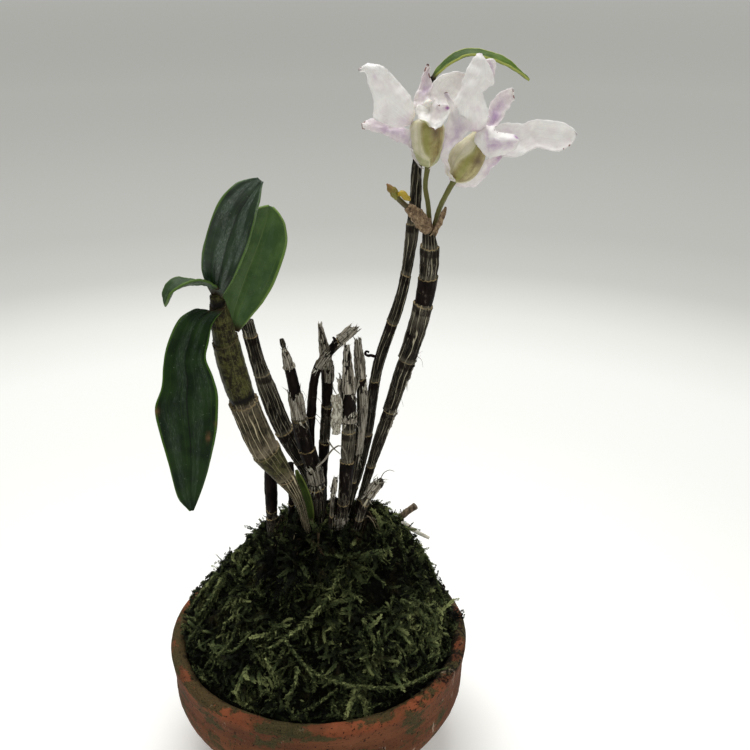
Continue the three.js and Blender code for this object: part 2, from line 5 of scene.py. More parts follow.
import bpy
import numpy as np
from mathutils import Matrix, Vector


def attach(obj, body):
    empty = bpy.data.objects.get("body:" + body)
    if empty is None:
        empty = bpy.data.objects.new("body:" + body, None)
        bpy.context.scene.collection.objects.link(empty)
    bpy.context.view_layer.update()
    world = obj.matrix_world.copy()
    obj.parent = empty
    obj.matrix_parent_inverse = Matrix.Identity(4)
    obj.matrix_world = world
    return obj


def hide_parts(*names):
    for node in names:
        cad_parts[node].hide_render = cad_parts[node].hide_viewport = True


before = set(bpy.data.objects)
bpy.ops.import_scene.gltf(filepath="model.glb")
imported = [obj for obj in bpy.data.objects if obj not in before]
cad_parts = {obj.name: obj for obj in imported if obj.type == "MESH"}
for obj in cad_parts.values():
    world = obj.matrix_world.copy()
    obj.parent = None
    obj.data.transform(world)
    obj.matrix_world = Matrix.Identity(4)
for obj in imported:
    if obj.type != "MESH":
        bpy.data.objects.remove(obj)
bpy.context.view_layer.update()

MM = 0.001
FRONT = np.array([0.0, -1.0, 0.0])

# Camera, floor and light, in metres
CAMERA_PLACE = (0.0152, -0.2308, 0.2147)
CAMERA_PITCH = 24.2
CAMERA_LENS = 50
FLOOR_RADIUS = 6.0
FLOOR_COLOURS = [
    (0.00, (249, 249, 246)),
    (0.28, (249, 249, 246)),
    (0.34, (238, 238, 234)),
    (0.42, (211, 211, 207)),
    (0.52, (206, 206, 202)),
    (0.75, (218, 218, 214)),
    (1.20, (238, 238, 234)),
    (2.80, (251, 251, 247)),
]
# Emission of the floor near the bowl: painted light that weakens the bowl's shadow and contact shade on the
# floor
FLOOR_PAINTED_LIGHT = (118, 118, 116)
FLOOR_PAINTED_LIGHT_START, FLOOR_PAINTED_LIGHT_REACH = 0.04, 0.22
SKY_COLOUR = (178, 178, 176)
SKY_STRENGTH = 1.0
KEY_LIGHT = {"place": (-0.05, 0.16, 0.75), "size": 0.5, "watts": 3.9}
FILL_LIGHT = {"place": (0.30, -0.65, 0.55), "size": 0.6, "watts": 0.6}
LIGHTS_AIM = (0, 0, 0.08)

# The bowl
POT_HEIGHT = 36
POT_RIM = 40
POT_WALL = 4
POT_OUTSIDE = [(22, 0), (25.2, 4), (31, 10), (36.2, 15.5), (38.7, 21), (39, 28), (39.7, 33)]
POT_INSIDE = [(35.6, 31), (34.9, 22), (32, 15.5), (26.5, 9), (20, 4.5)]
POT_FOOT_RINGS = (0.001, 8, 14, 20, 21.4)
POT_FLOOR_RINGS = (14, 8, 0.001)
POT_OUTSIDE_STEPS, POT_INSIDE_STEPS, POT_LIP_STEPS = 44, 26, 12
POT_LIP_ARCH = 1.5
POT_HOLES = 3
POT_HOLE_RADIUS = 2.5
POT_HOLE_RING = 11
POT_SIDES = 160

# The mound of moss
MOSS_RADIUS = 35.3
MOSS_FOOT = 29.8
MOSS_PEAK = 36
MOSS_PEAK_PLACE = (7, 4)
MOSS_EDGE_LIFT = 3
MOSS_EDGE_TILT = 3.5
MOSS_INSET = 1.0
MOSS_NARROWING = 1.015
MOSS_BUMP_PLACE = (19, 5)
MOSS_ALL = (0, 0, MOSS_RADIUS, MOSS_RADIUS)
MOSS_BY_CANES = (2, -6.5, 14, 4)
SPILL_BEARINGS = (-62, 130)
SPILL_RADIUS = 38.2
SPILL_HEIGHT = POT_HEIGHT + 0.8
SHOOT_OVERHANG = 2

# Rows and columns of the grids that the pieces are made from
MOSS_GRID = (64, 144)
SHEATH_GRID = (16, 60)
FIBRE_GRID = (12, 6)
TWIGLET_GRID = (24, 10)
LEAF_GRID = (60, 24)
OUTLINED_LEAF_GRID = (70, 24)
SOFT_STEM_GRID = (44, 28)
BRACT_GRID = (24, 14)
TISSUE_GRID = (56, 26)
CHIN_GRID = (80, 80)
SCRAP_GRID = (48, 16)


# Shapes of curves and tables


class Path:
    """A smooth curve through measured points, read by its share of length from 0 to 1."""

    def __init__(self, route):
        points = np.array(route, float)
        ends = [2 * points[0] - points[1], *points, 2 * points[-1] - points[-2]]
        dense = []
        for first in range(len(points) - 1):
            dense.extend(self._span(ends[first:first + 4]))
        self.points = np.array([*dense, points[-1]])
        steps = np.linalg.norm(np.diff(self.points, axis=0), axis=1)
        self.length = steps.sum()
        self.share = np.concatenate([[0], np.cumsum(steps)]) / self.length

    @staticmethod
    def _span(corners):
        """Points of one centripetal Catmull-Rom span, without its last."""
        gaps = [max(np.linalg.norm(b - a) ** 0.5, 1e-6) for a, b in zip(corners, corners[1:])]
        knots = np.concatenate([[0], np.cumsum(gaps)])

        def blend(a, b, low, high, place):
            return a + (b - a) * (place - low) / (high - low)

        span = []
        for place in np.linspace(knots[1], knots[2], 40, endpoint=False):
            lines = [
                blend(corners[i], corners[i + 1], knots[i], knots[i + 1], place) for i in range(3)
            ]
            arcs = [blend(lines[i], lines[i + 1], knots[i], knots[i + 2], place) for i in range(2)]
            span.append(blend(arcs[0], arcs[1], knots[1], knots[2], place))
        return span

    def at(self, along):
        return np.stack([np.interp(along, self.share, axis) for axis in self.points.T], axis=-1)

    def heading(self, along):
        step = 0.01
        ahead = self.at(np.minimum(along + step, 1)) - self.at(np.maximum(along - step, 0))
        return unit(ahead)


def unit(vectors):
    return vectors / np.linalg.norm(vectors, axis=-1, keepdims=True)


def read_table(rows, along):
    """Reads [place, value, value...] rows at places between 0 and 1, as smooth curves without overshoot."""
    rows = np.array(rows, float)
    places, values = rows[:, 0], rows[:, 1:]
    gaps = np.diff(places)[:, None]
    slopes = np.diff(values, axis=0) / gaps
    before, after = slopes[:-1], slopes[1:]
    agree = before * after > 0
    total = np.where(agree, before + after, 1)
    inner = np.where(agree, 2 * before * after / total, 0)
    tangents = np.vstack([slopes[:1], inner, slopes[-1:]])
    along = np.asarray(along, float)
    i = np.clip(np.searchsorted(places, along, side="right") - 1, 0, len(places) - 2)
    gap = gaps[i]
    t = (along[..., None] - places[i][..., None]) / gap
    return (
        (1 + 2 * t) * (1 - t) ** 2 * values[i]
        + t * (1 - t) ** 2 * gap * tangents[i]
        + t ** 2 * (3 - 2 * t) * values[i + 1]
        + t ** 2 * (t - 1) * gap * tangents[i + 1]
    )


def read_value(rows, along):
    """Reads a table with one value to a row."""
    return read_table(rows, along)[..., 0]


def read_corners(corners, along):
    """A smooth line through evenly spread corners, read at places between 0 and 1."""
    places = np.linspace(0, 1, len(corners))
    return read_table([(place, *corner) for place, corner in zip(places, corners)], along)


def ripple(points, size, seed, octaves=3):
    """Smooth relief between about -1 and 1 at points, with bumps about size apart."""
    draw = np.random.default_rng(seed)
    relief = 0
    for octave in range(octaves):
        for _ in range(5):
            direction = unit(draw.normal(size=points.shape[-1]))
            rate = 2 * math.pi / size * 2 ** octave * draw.uniform(0.6, 1.3)
            relief = relief + np.sin(points @ direction * rate + draw.uniform(0, 6.3)) * 0.55 ** octave
    return relief / 3.4


def bell(distance, width):
    return np.exp(-((distance / width) ** 2))


# Meshes


def deselect_all():
    bpy.ops.object.select_all(action="DESELECT")


def add_object(name, data):
    added = bpy.data.objects.new(name, data)
    bpy.context.collection.objects.link(added)
    return added


def grid_piece(name, points):
    """A grid primitive with its corners moved to points[row, column], and rows along its UV map's V."""
    rows, columns = points.shape[0] - 1, points.shape[1] - 1
    deselect_all()
    bpy.ops.mesh.primitive_grid_add(x_subdivisions=columns, y_subdivisions=rows, size=1, calc_uvs=True)
    piece = bpy.context.object
    piece.name = name
    piece.data.name = name
    piece.data.vertices.foreach_set("co", (points * MM).astype(np.float32).ravel())
    return piece


def paint(piece, name, values):
    """Keeps a number for each corner of a piece, for its material to read."""
    layer = piece.data.attributes.new(name, "FLOAT", "POINT")
    layer.data.foreach_set("value", np.asarray(values, np.float32).ravel())


def select_only(piece):
    deselect_all()
    bpy.context.view_layer.objects.active = piece
    piece.select_set(True)


def edit(piece, *steps):
    """Runs edit-mode operators on all of a piece."""
    select_only(piece)
    bpy.ops.object.mode_set(mode="EDIT")
    bpy.ops.mesh.select_all(action="SELECT")
    for operator, settings in steps:
        operator(**settings)
    bpy.ops.object.mode_set(mode="OBJECT")


def close_seams(piece):
    edit(
        piece,
        (bpy.ops.mesh.remove_doubles, {"threshold": 2e-6}),
        (bpy.ops.mesh.normals_make_consistent, {"inside": False}),
    )


def apply_modifier(piece, kind, **settings):
    select_only(piece)
    modifier = piece.modifiers.new(kind.title(), kind)
    for name, value in settings.items():
        setattr(modifier, name, value)
    bpy.ops.object.modifier_apply(modifier=modifier.name)


def thicken(piece, thickness):
    """Gives a sheet its thickness in mm, with a closed rim."""
    apply_modifier(piece, "SOLIDIFY", thickness=thickness * MM, offset=0)
    close_seams(piece)


def finish_piece(piece, finish, slot, *nodes, smooth=True):
    """Gives a piece its material, and hands it over in place of CAD nodes."""
    piece.data.materials.clear()
    piece.data.materials.append(finish.material)
    piece.data.polygons.foreach_set("use_smooth", [smooth] * len(piece.data.polygons))
    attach(piece, "root")
    if nodes:
        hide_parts(*nodes)
    return piece


def along_grid(rows):
    """Places along a stem or sheet, from its foot to its tip."""
    return np.linspace(0, 1, rows + 1)[:, None]


def around_grid(columns):
    """Places round a stem from back to back: 0 is the front and 0.25 the right."""
    return np.linspace(-0.5, 0.5, columns + 1)[None]


def round_spots(turn, along, radius, length):
    """Places on a stem's surface in mm, unrolled so that a pattern on them closes at the back."""
    angle = 2 * math.pi * turn
    level = along * length + 0 * turn
    return np.stack([radius * np.cos(angle) + 0 * level, radius * np.sin(angle) + 0 * level, level], -1)


def sheet_piece(name, points, thickness, finish, slot, *nodes, marks=None):
    """A sheet of a thickness in mm with a closed rim, painted with its marks."""
    piece = grid_piece(name, points)
    for key, values in (marks or {}).items():
        paint(piece, key, values)
    thicken(piece, thickness)
    return finish_piece(piece, finish, slot, *nodes)


def around_path(path, along, radius, turn):
    """Points at a radius round a path, which may run on past its ends."""
    inside = np.clip(along, 0, 1)
    spot, heading = path.at(inside), path.heading(inside)
    spot = spot + heading * ((along - inside) * path.length)[..., None]
    front = unit(FRONT - heading * (heading @ FRONT)[..., None])
    side = np.cross(heading, front)
    angle = 2 * math.pi * turn[..., None]
    return spot + radius[..., None] * (np.cos(angle) * front + np.sin(angle) * side)


def scale_map(piece, across, along):
    """Stretches a piece's UV map, so that its pattern has a real size."""
    layer = piece.data.uv_layers[0].uv
    flat = np.zeros(len(layer) * 2, np.float32)
    layer.foreach_get("vector", flat)
    layer.foreach_set("vector", (flat.reshape(-1, 2) * (across, along)).astype(np.float32).ravel())


def tube(name, path, along, radius, marks=None):
    """A closed round stem. along is [row, 1], radius [row, column] in mm; its map is in mm too."""
    columns = radius.shape[1] - 1
    closed = np.zeros((1, columns + 1))
    along = np.vstack([along[:1], along, along[-1:]])
    radii = np.vstack([closed, radius, closed])
    points = around_path(path, along + closed, radii, around_grid(columns) + 0 * along)
    piece = grid_piece(name, points)
    scale_map(piece, 2 * math.pi * radius.mean(), path.length)
    for key, values in (marks or {}).items():
        paint(piece, key, np.vstack([values[:1], values, values[-1:]]))
    close_seams(piece)
    return piece


def blade_points(spec, rows, columns, lift):
    """Points of a leaf's middle sheet, raised by lift, and its (along, across) grid."""
    path = Path(spec["route"])
    along = np.linspace(0, 1, rows + 1)
    across = np.linspace(-1, 1, columns + 1)
    tangent = path.heading(along)
    foot, tip = np.array(spec["facing"], float)
    towards = foot + (tip - foot) * along[:, None]
    up = unit(towards - tangent * (towards * tangent).sum(1)[:, None])
    right = np.cross(tangent, up)
    widths = read_table(spec["edges"], along)
    half = np.where(across < 0, widths[:, :1], widths[:, 1:2])
    curl = spec["curl"]
    angle = curl * across
    grid_along = np.repeat(along[:, None], columns + 1, axis=1)
    grid_across = np.repeat(across[None], rows + 1, axis=0)
    rise = half * (1 - np.cos(angle)) / curl + lift(grid_along, grid_across, half)
    points = (
        path.at(along)[:, None]
        + (half * np.sin(angle) / curl)[..., None] * right[:, None]
        + rise[..., None] * up[:, None]
    )
    return points, grid_along, grid_across


def sheet_points(spec, rows, columns):
    """Points between a sheet's two outlines, left and right from the front, from its base to its tip.

    Also returns the way it faces, the way across it, and how far along and across each point lies.
    """
    along = along_grid(rows) + np.zeros(columns + 1)
    across = np.linspace(0, 1, columns + 1) + np.zeros((rows + 1, 1))
    left, right = (read_corners(spec[side], along[:, 0]) for side in ("left", "right"))
    points = left[:, None] + (right - left)[:, None] * across[..., None]
    normal = unit(np.cross(np.gradient(points, axis=0), np.gradient(points, axis=1)) + 1e-9)
    normal = normal * np.sign((normal @ FRONT).sum())
    return points, normal, unit(right - left + 1e-9)[:, None], along, across


# Materials


def colour(red, green, blue):
    """A colour from 0 to 255, as the eye sees it, in the linear light that shaders use."""
    values = []
    for level in (red, green, blue):
        share = level / 255
        values.append(share / 12.92 if share <= 0.04045 else ((share + 0.055) / 1.055) ** 2.4)
    return (*values, 1.0)


class Value:
    """A number or colour inside a material. Arithmetic on it adds Math nodes."""

    def __init__(self, finish, socket):
        self.finish = finish
        self.socket = socket

    def math(self, operation, *values):
        return self.finish.node("ShaderNodeMath", {"operation": operation}, values)

    def __add__(self, other):
        return self.math("ADD", self, other)

    def __sub__(self, other):
        return self.math("SUBTRACT", self, other)

    def __mul__(self, other):
        return self.math("MULTIPLY", self, other)

    def __rsub__(self, other):
        return self.math("SUBTRACT", other, self)

    __radd__ = __add__
    __rmul__ = __mul__

    def absolute(self):
        return self.math("ABSOLUTE", self)

    def sine(self):
        return self.math("SINE", self)

    def larger(self, other):
        return self.math("MAXIMUM", self, other)

    def step(self, low, high):
        """0 below low, 1 above high, and a soft step between."""
        settings = {"interpolation_type": "SMOOTHSTEP"}
        return self.finish.node("ShaderNodeMapRange", settings, {"Value": self, 1: low, 2: high})


class Finish:
    """A material of one Principled shader, with the nodes that vary it."""

    def __init__(self, name, **uniform):
        self.material = bpy.data.materials.new(name)
        self.material.use_nodes = True
        self.tree = self.material.node_tree
        self.shader = self.tree.nodes["Principled BSDF"]
        for socket, value in uniform.items():
            self.shader.inputs[socket.replace("_", " ")].default_value = value

    def node(self, kind, settings=None, inputs=(), output=0):
        """Adds a node: its settings first, then the values or links of its sockets."""
        node = self.tree.nodes.new(kind)
        for key, value in (settings or {}).items():
            if key == "stops":
                self._set_stops(node.color_ramp, value)
            else:
                setattr(node, key, value)
        pairs = inputs.items() if isinstance(inputs, dict) else enumerate(inputs)
        for key, value in pairs:
            self.feed(node.inputs[key], value)
        return Value(self, node.outputs[output])

    @staticmethod
    def _set_stops(ramp, stops):
        while len(ramp.elements) < len(stops):
            ramp.elements.new(0.5)
        for element, (place, shade) in zip(ramp.elements, stops):
            element.position = place
            element.color = colour(*shade)

    def feed(self, socket, value):
        if isinstance(value, Value):
            self.tree.links.new(value.socket, socket)
        else:
            socket.default_value = value

    def place(self, kind="Object", scale=(1, 1, 1), shift=(0, 0, 0)):
        """Coordinates: Object ones in millimetres, or the piece's UV map, times scale."""
        per = 1 / MM if kind == "Object" else 1
        source = self.node("ShaderNodeTexCoord", output=kind)
        size = tuple(per * axis for axis in scale)
        return self.node("ShaderNodeMapping", None, {"Vector": source, "Scale": size, "Location": shift})

    def axis(self, vector, index):
        return self.node("ShaderNodeSeparateXYZ", None, [vector], index)

    def map_axes(self):
        """How far across, or round, and how far along the piece's UV map."""
        uv = self.place("UV")
        return self.axis(uv, 0), self.axis(uv, 1)

    def noise(self, vector, scale=1.0, detail=3.0, roughness=0.55, distortion=0.0):
        values = {
            "Vector": vector,
            "Scale": scale,
            "Detail": detail,
            "Roughness": roughness,
            "Distortion": distortion,
        }
        return self.node("ShaderNodeTexNoise", None, values)

    def cells(self, vector, scale=1.0):
        return self.node("ShaderNodeTexVoronoi", None, {"Vector": vector, "Scale": scale})

    def attribute(self, name):
        return self.node("ShaderNodeAttribute", {"attribute_name": name}, output="Fac")

    def mix(self, share, first, second):
        shades = [colour(*shade) if isinstance(shade, tuple) else shade for shade in (first, second)]
        return self.node("ShaderNodeMix", {"data_type": "RGBA"}, {0: share, 6: shades[0], 7: shades[1]}, 2)

    def ramp(self, value, *stops):
        return self.node("ShaderNodeValToRGB", {"stops": stops}, [value])

    def streaks(self, around, along, count, stretch=2.0, seed=0.0):
        """A noise drawn out along a stem or leaf."""
        vector = self.node("ShaderNodeCombineXYZ", None, [around * count, along * stretch, seed])
        return self.noise(vector, 1.0, 2.0)

    def shade(self, base, roughness=None, height=None, depth=0.1):
        """Links the colour, the roughness, and a relief whose full height is depth in mm."""
        self.feed(self.shader.inputs["Base Color"], base)
        if roughness is not None:
            self.feed(self.shader.inputs["Roughness"], roughness)
        if height is not None:
            bump = self.node("ShaderNodeBump", None, {"Height": height, "Distance": depth * MM})
            self.feed(self.shader.inputs["Normal"], bump)
        return self


def terracotta():
    """Weathered clay: algae round the lip, dark smears, chalky scuffs and black specks and crusts."""
    finish = Finish("terracotta", Roughness=0.85, Specular_IOR_Level=0.12)
    spot = finish.place()
    height = finish.axis(spot, 2)
    right = finish.axis(spot, 0)
    flat = finish.node("ShaderNodeVectorMath", {"operation": "MULTIPLY"}, [spot, (1, 1, 0)])
    reach = finish.node("ShaderNodeVectorMath", {"operation": "LENGTH"}, [flat], "Value")
    clouds = finish.noise(spot, 0.06, 5, 0.6)
    bands = finish.noise(finish.place(scale=(0.03, 0.03, 0.4)), 1.0, 4)
    grain = finish.noise(spot, 3.0, 5, 0.7)
    clay = finish.ramp(
        clouds * 0.5 + bands * 0.5,
        (0.35, (70, 40, 26)),
        (0.5, (97, 58, 38)),
        (0.65, (118, 72, 48)),
    )
    clay = finish.mix(grain.step(0.35, 0.75) * 0.3, clay, (134, 90, 60))
    on_lip = height.step(32.0, 35.0)
    clay = finish.mix(on_lip * clouds.step(0.42, 0.62) * 0.85, clay, (142, 78, 50))
    damp = finish.noise(finish.place(scale=(0.09, 0.09, 0.22), shift=(3, 1, 0)), 1.0, 6, 0.68)
    inner_edge = 1 - reach.step(36.3, 38.4)
    left = 1 - right.step(-34, 6)
    below_lip = height.step(23, 27) * (1 - height.step(30, 32))
    wet = damp + on_lip * 0.07 + on_lip * inner_edge * 0.17 + on_lip * left * 0.04 + below_lip * left * 0.01
    algae = finish.ramp(grain, (0.3, (32, 32, 19)), (0.5, (60, 59, 35)), (0.7, (90, 82, 52)))
    patchy = (damp + finish.noise(spot, 0.9, 5, 0.7) - 0.5) * 0.35
    clay = finish.mix((wet + patchy).step(0.71, 0.79) * 0.88, clay, algae)
    low_right = right.step(8, 30) * (1 - height.step(14, 24))
    clay = finish.mix((damp + low_right * 0.14).step(0.60, 0.70) * 0.8, clay, (52, 54, 34))
    chalk = finish.noise(finish.place(scale=(0.3, 0.3, 0.12), shift=(7, 5, 2)), 1.0, 5, 0.72)
    at_right = right.step(20, 34)
    chalk = (chalk + low_right * 0.05 + at_right * 0.06).step(0.64, 0.74)
    clay = finish.mix(chalk * 0.6, clay, (188, 168, 148))
    specks = finish.noise(spot, 1.7, 2, 0.5)
    pale_specks = finish.noise(finish.place(shift=(9, 4, 6)), 1.8, 3, 0.6).step(0.70, 0.74)
    clay = finish.mix(pale_specks * 0.6, clay, (170, 156, 136))
    crust = finish.noise(spot, 0.5, 6, 0.85) + at_right * on_lip * 0.10 + on_lip * inner_edge * 0.08
    crust = crust.step(0.61, 0.64)
    clay = finish.mix(specks.step(0.64, 0.67).larger(crust) * 0.9, clay, (20, 18, 14))
    relief = grain * 0.4 + bands * 0.3 - specks.step(0.66, 0.74) * 0.5 + crust * 0.4
    return finish.shade(clay, height=relief, depth=0.25)


# Near-black ground under the shoots: dark old moss, and also painted shade for the gaps between the shoots
def moss_base_and_gap_shade():
    finish = Finish("moss_base_and_gap_shade", Roughness=0.95, Specular_IOR_Level=0.1)
    spot = finish.place()
    fine = finish.noise(spot, 1.4, 5, 0.7)
    broad = finish.noise(spot, 0.16, 3)
    base = finish.ramp(fine, (0.3, (3, 4, 2)), (0.55, (12, 14, 7)), (0.75, (30, 35, 16)))
    base = finish.mix(broad.step(0.5, 0.65) * 0.5, base, (22, 15, 8))
    return finish.shade(base, height=fine, depth=0.6)


def moss_green():
    finish = Finish("moss_green", Roughness=0.8, Specular_IOR_Level=0.1)
    spot = finish.place()
    tone = finish.attribute("tone") + (finish.noise(spot, 0.12, 3) - 0.5) * 0.7
    base = finish.ramp(
        tone,
        (0.0, (9, 11, 7)),
        (0.25, (27, 32, 18)),
        (0.55, (72, 82, 50)),
        (1.0, (158, 165, 108)),
    )
    base = finish.mix(finish.noise(spot, 0.22, 3).step(0.55, 0.7) * 0.4, base, (58, 50, 26))
    return finish.shade(base)


def soil():
    finish = Finish("soil", Roughness=0.95)
    spot = finish.place()
    crumbs = finish.cells(spot, 0.6)
    base = finish.ramp(crumbs, (0.0, (28, 20, 14)), (0.5, (58, 44, 30)), (1.0, (84, 68, 48)))
    return finish.shade(base, height=crumbs, depth=1.0)


def bark(name, dark, light):
    finish = Finish(name, Roughness=0.85)
    grain = finish.noise(finish.place(scale=(1.6, 1.6, 0.4)), 1.0, 5, 0.7)
    base = finish.mix(grain.step(0.35, 0.7), dark, light)
    return finish.shade(base, height=grain, depth=0.25)


def old_root():
    """Dark threads of old roots, with a few pale dry ones among them."""
    finish = Finish("old_root", Roughness=0.9, Specular_IOR_Level=0.15)
    grain = finish.noise(finish.place(), 2.5, 4, 0.7)
    tone = finish.attribute("tone") + (grain - 0.5) * 0.5
    stops = [(0.0, (12, 9, 6)), (0.7, (34, 26, 18)), (0.85, (70, 58, 40)), (1.0, (150, 138, 112))]
    base = finish.ramp(tone, *stops)
    return finish.shade(base, height=grain, depth=0.2)


def stem_lines(finish, across, along, spacing, seed=0.0, width=0.3):
    """Thin pale lines along a stem, spacing mm apart, that wander a little and fade in and out.

    Also returns the wave that they follow, which is 0 on a line and 1 midway between two.
    """
    drift = finish.streaks(across, along, 0.35 / spacing, 0.06, seed)
    wave = (across * (math.pi / spacing) + drift * 9).sine().absolute()
    strength = finish.streaks(across, along, 1.0 / spacing, 0.12, seed + 3).step(0.36, 0.56)
    return (1 - wave.step(0.4 * width, width)) * strength, wave


def joint_line(finish, wave, thickness=0.16):
    """A thin line at each joint that dips between the lengthwise lines, as scallops do."""
    above = finish.attribute("above") + wave * 0.2 - 0.1
    return 1 - above.absolute().step(0.4 * thickness, thickness)


def dark_cane():
    """Near-black cane, most of it under a thin grey skin with pale lines, and tan lines at its joints."""
    finish = Finish("dark_cane", Roughness=0.6, Specular_IOR_Level=0.05)
    across, along = finish.map_axes()
    spot = finish.place()
    lines, wave = stem_lines(finish, across, along, 0.9, width=0.22)
    hairs, _ = stem_lines(finish, across, along, 0.33, 5.0, 0.45)
    fibres = finish.streaks(across, along, 4.0, 0.3, 8.0)
    clouds = finish.noise(finish.place(scale=(0.7, 0.7, 0.22)), 1.0, 5, 0.7)
    bare = finish.mix(clouds.step(0.35, 0.7), (10, 7, 6), (36, 27, 24))
    cover = finish.mix(fibres.step(0.36, 0.66), (12, 10, 9), (47, 43, 37))
    cover = finish.mix(hairs * 0.26, cover, (126, 118, 100))
    peel = finish.attribute("skin") + (clouds - 0.5) * 1.1
    held = peel.step(0.46, 0.52)
    torn = 1 - (peel - 0.48).absolute().step(0.01, 0.04)
    frost = finish.noise(finish.place(scale=(1.8, 1.8, 0.25), shift=(5, 2, 1)), 1.0, 6, 0.72)
    frosted = frost.step(0.56, 0.64) * finish.attribute("skin").step(0.5, 0.9) * 0.6
    cover = finish.mix(frosted, cover, (164, 158, 144))
    near = finish.attribute("above")
    collar = near.step(-2.4, -1.7) * (1 - near.step(-0.5, -0.1)) * clouds.step(0.36, 0.50)
    pale_cup = near.step(-0.1, 0.25) * (1 - near.step(0.5, 1.4)) * held * 0.35
    pale = finish.attribute("pale") * fibres.step(0.30, 0.52)
    cover = finish.mix(pale_cup.larger(pale) * 0.85, cover, (132, 126, 110))
    cover = finish.mix(lines, cover, (196, 188, 162))
    cover = finish.mix(collar * 0.85, cover, bare)
    base = finish.mix(held, bare, cover)
    base = finish.mix(torn * 0.3, base, (140, 132, 116))
    worn = finish.noise(spot, 0.5, 3).step(0.40, 0.58) * 0.65 + 0.28
    base = finish.mix(joint_line(finish, wave) * worn, base, (170, 150, 108))
    relief = fibres * 0.4 + clouds * 0.3 + lines * 0.5 + held * 0.3
    return finish.shade(base, 0.8 - (1 - held) * 0.3, relief, 0.16)


def olive_cane():
    """Olive, fleshy cane with fine lines, and see-through grey-brown paper over its lower joints."""
    finish = Finish("olive_cane", Roughness=0.5, Specular_IOR_Level=0.1)
    across, along = finish.map_axes()
    spot = finish.place()
    skin = finish.attribute("skin").step(0.35, 0.65)
    lines, wave = stem_lines(finish, across, along, 1.0)
    hairs, _ = stem_lines(finish, across, along, 0.5, 4.0, 0.35)
    mottle = finish.noise(spot, 0.55, 6, 0.72)
    grain = finish.noise(spot, 2.6, 4, 0.7)
    flesh = finish.mix(mottle.step(0.40, 0.60), (34, 29, 17), (82, 82, 44))
    flesh = finish.mix(grain.step(0.5, 0.62) * 0.6, flesh, (32, 27, 18))
    flesh = finish.mix(grain.step(0.32, 0.44), (108, 106, 66), flesh)
    flesh = finish.mix(lines * 0.25, flesh, (140, 134, 92))
    paper = finish.mix(mottle.step(0.40, 0.60), (32, 31, 22), (82, 75, 58))
    paper = finish.mix(grain.step(0.52, 0.64) * 0.5, paper, (40, 36, 27))
    paper = finish.mix(hairs * 0.4, paper, (138, 126, 100))
    paper = finish.mix(lines, paper, (206, 194, 160))
    base = finish.mix(skin, flesh, paper)
    pale = finish.attribute("pale") * (mottle.step(0.30, 0.55) * 0.6 + 0.2)
    base = finish.mix(pale, base, (136, 124, 104))
    # Dark marks, among them a painted shadow band just above the paper's rim
    base = finish.mix(finish.attribute("dark"), base, (14, 10, 8))
    base = finish.mix(joint_line(finish, wave, 0.16) * (skin * 0.5 + 0.2), base, (150, 132, 98))
    return finish.shade(base, 0.45 + skin * 0.3, lines * 0.4 + mottle * 0.5, 0.12)


def papery():
    """Dry, ragged paper: grey-white, with dark gaps and fibres along it."""
    finish = Finish("papery_skin", Roughness=0.9, Specular_IOR_Level=0.05)
    across, along = finish.map_axes()
    fibres = finish.streaks(across, along, 2.2, 0.10)
    lines, _ = stem_lines(finish, across, along, 0.55, 2.0, 0.4)
    gaps = finish.noise(finish.place(scale=(1.5, 1.5, 0.22)), 1.0, 6, 0.75)
    base = finish.mix(fibres.step(0.38, 0.62), (88, 80, 68), (190, 183, 167))
    base = finish.mix(lines * 0.75, base, (232, 226, 212))
    base = finish.mix(gaps.step(0.52, 0.59) * 0.85, base, (24, 19, 16))
    return finish.shade(base, height=fibres * 0.5 + lines * 0.5, depth=0.2)


def fine_paper():
    """The pale paper of shreds and scraps, frosted and fibrous."""
    finish = Finish("paper_shreds", Roughness=0.9, Specular_IOR_Level=0.05)
    spots = finish.noise(finish.place(), 1.3, 4, 0.6)
    fibres = finish.noise(finish.place(scale=(3, 3, 0.35)), 1.0, 4, 0.6)
    base = finish.mix(fibres.step(0.40, 0.60), (138, 131, 114), (216, 212, 196))
    base = finish.mix(spots.step(0.52, 0.66) * 0.8, base, (74, 66, 56))
    return finish.shade(base, height=fibres, depth=0.15)


def leaf_finish(name, deep, light, margin, roughness, specular, painted_sheen=0.0, rib=(12, 20, 10)):
    """A leathery leaf with a midrib, fine veins along it, lighter margins, and grey patches of painted sheen
    with speckled painted highlights.
    """
    finish = Finish(name, Specular_IOR_Level=specular)
    across, along = finish.map_axes()
    spot = finish.place()
    off_middle = (across - 0.5).absolute()
    veins = finish.streaks(across, along, 30, 1.2)
    clouds = finish.noise(spot, 0.16, 4, 0.6)
    fine = finish.noise(finish.place("UV", (95, 34, 1)), 1.0, 6, 0.8)
    base = finish.mix(clouds.step(0.35, 0.65), deep, light)
    base = finish.mix(veins.step(0.55, 0.72) * 0.2, base, margin)
    base = finish.mix(off_middle.step(0.004, 0.016), rib, base)
    base = finish.mix(off_middle.step(0.455, 0.49) * 0.9, base, margin)
    patches = finish.noise(finish.place("UV", (4.5, 2.2, 1), (0.3, 0.7, 0)), 1.0, 3, 0.5)
    painted_sheen_mask = patches.step(0.42, 0.62)
    # Grey patches with fine speckles: painted sheen and painted highlights that stand in for the leaf's gloss
    base = finish.mix(painted_sheen_mask * painted_sheen * 0.45, base, (92, 108, 94))
    base = finish.mix(painted_sheen_mask * fine.step(0.50, 0.62) * painted_sheen, base, (148, 158, 148))
    base = finish.mix(1 - along.step(0.01, 0.09), base, (52, 42, 26))
    base = finish.mix(finish.attribute("blemish"), base, (120, 84, 58))
    dust = finish.noise(spot, 1.8, 2, 0.5).step(0.70, 0.75)
    base = finish.mix(dust * 0.35, base, (140, 150, 130))
    return finish.shade(base, roughness + (1 - clouds) * 0.2, veins * 0.5 + fine * 0.5, 0.06)


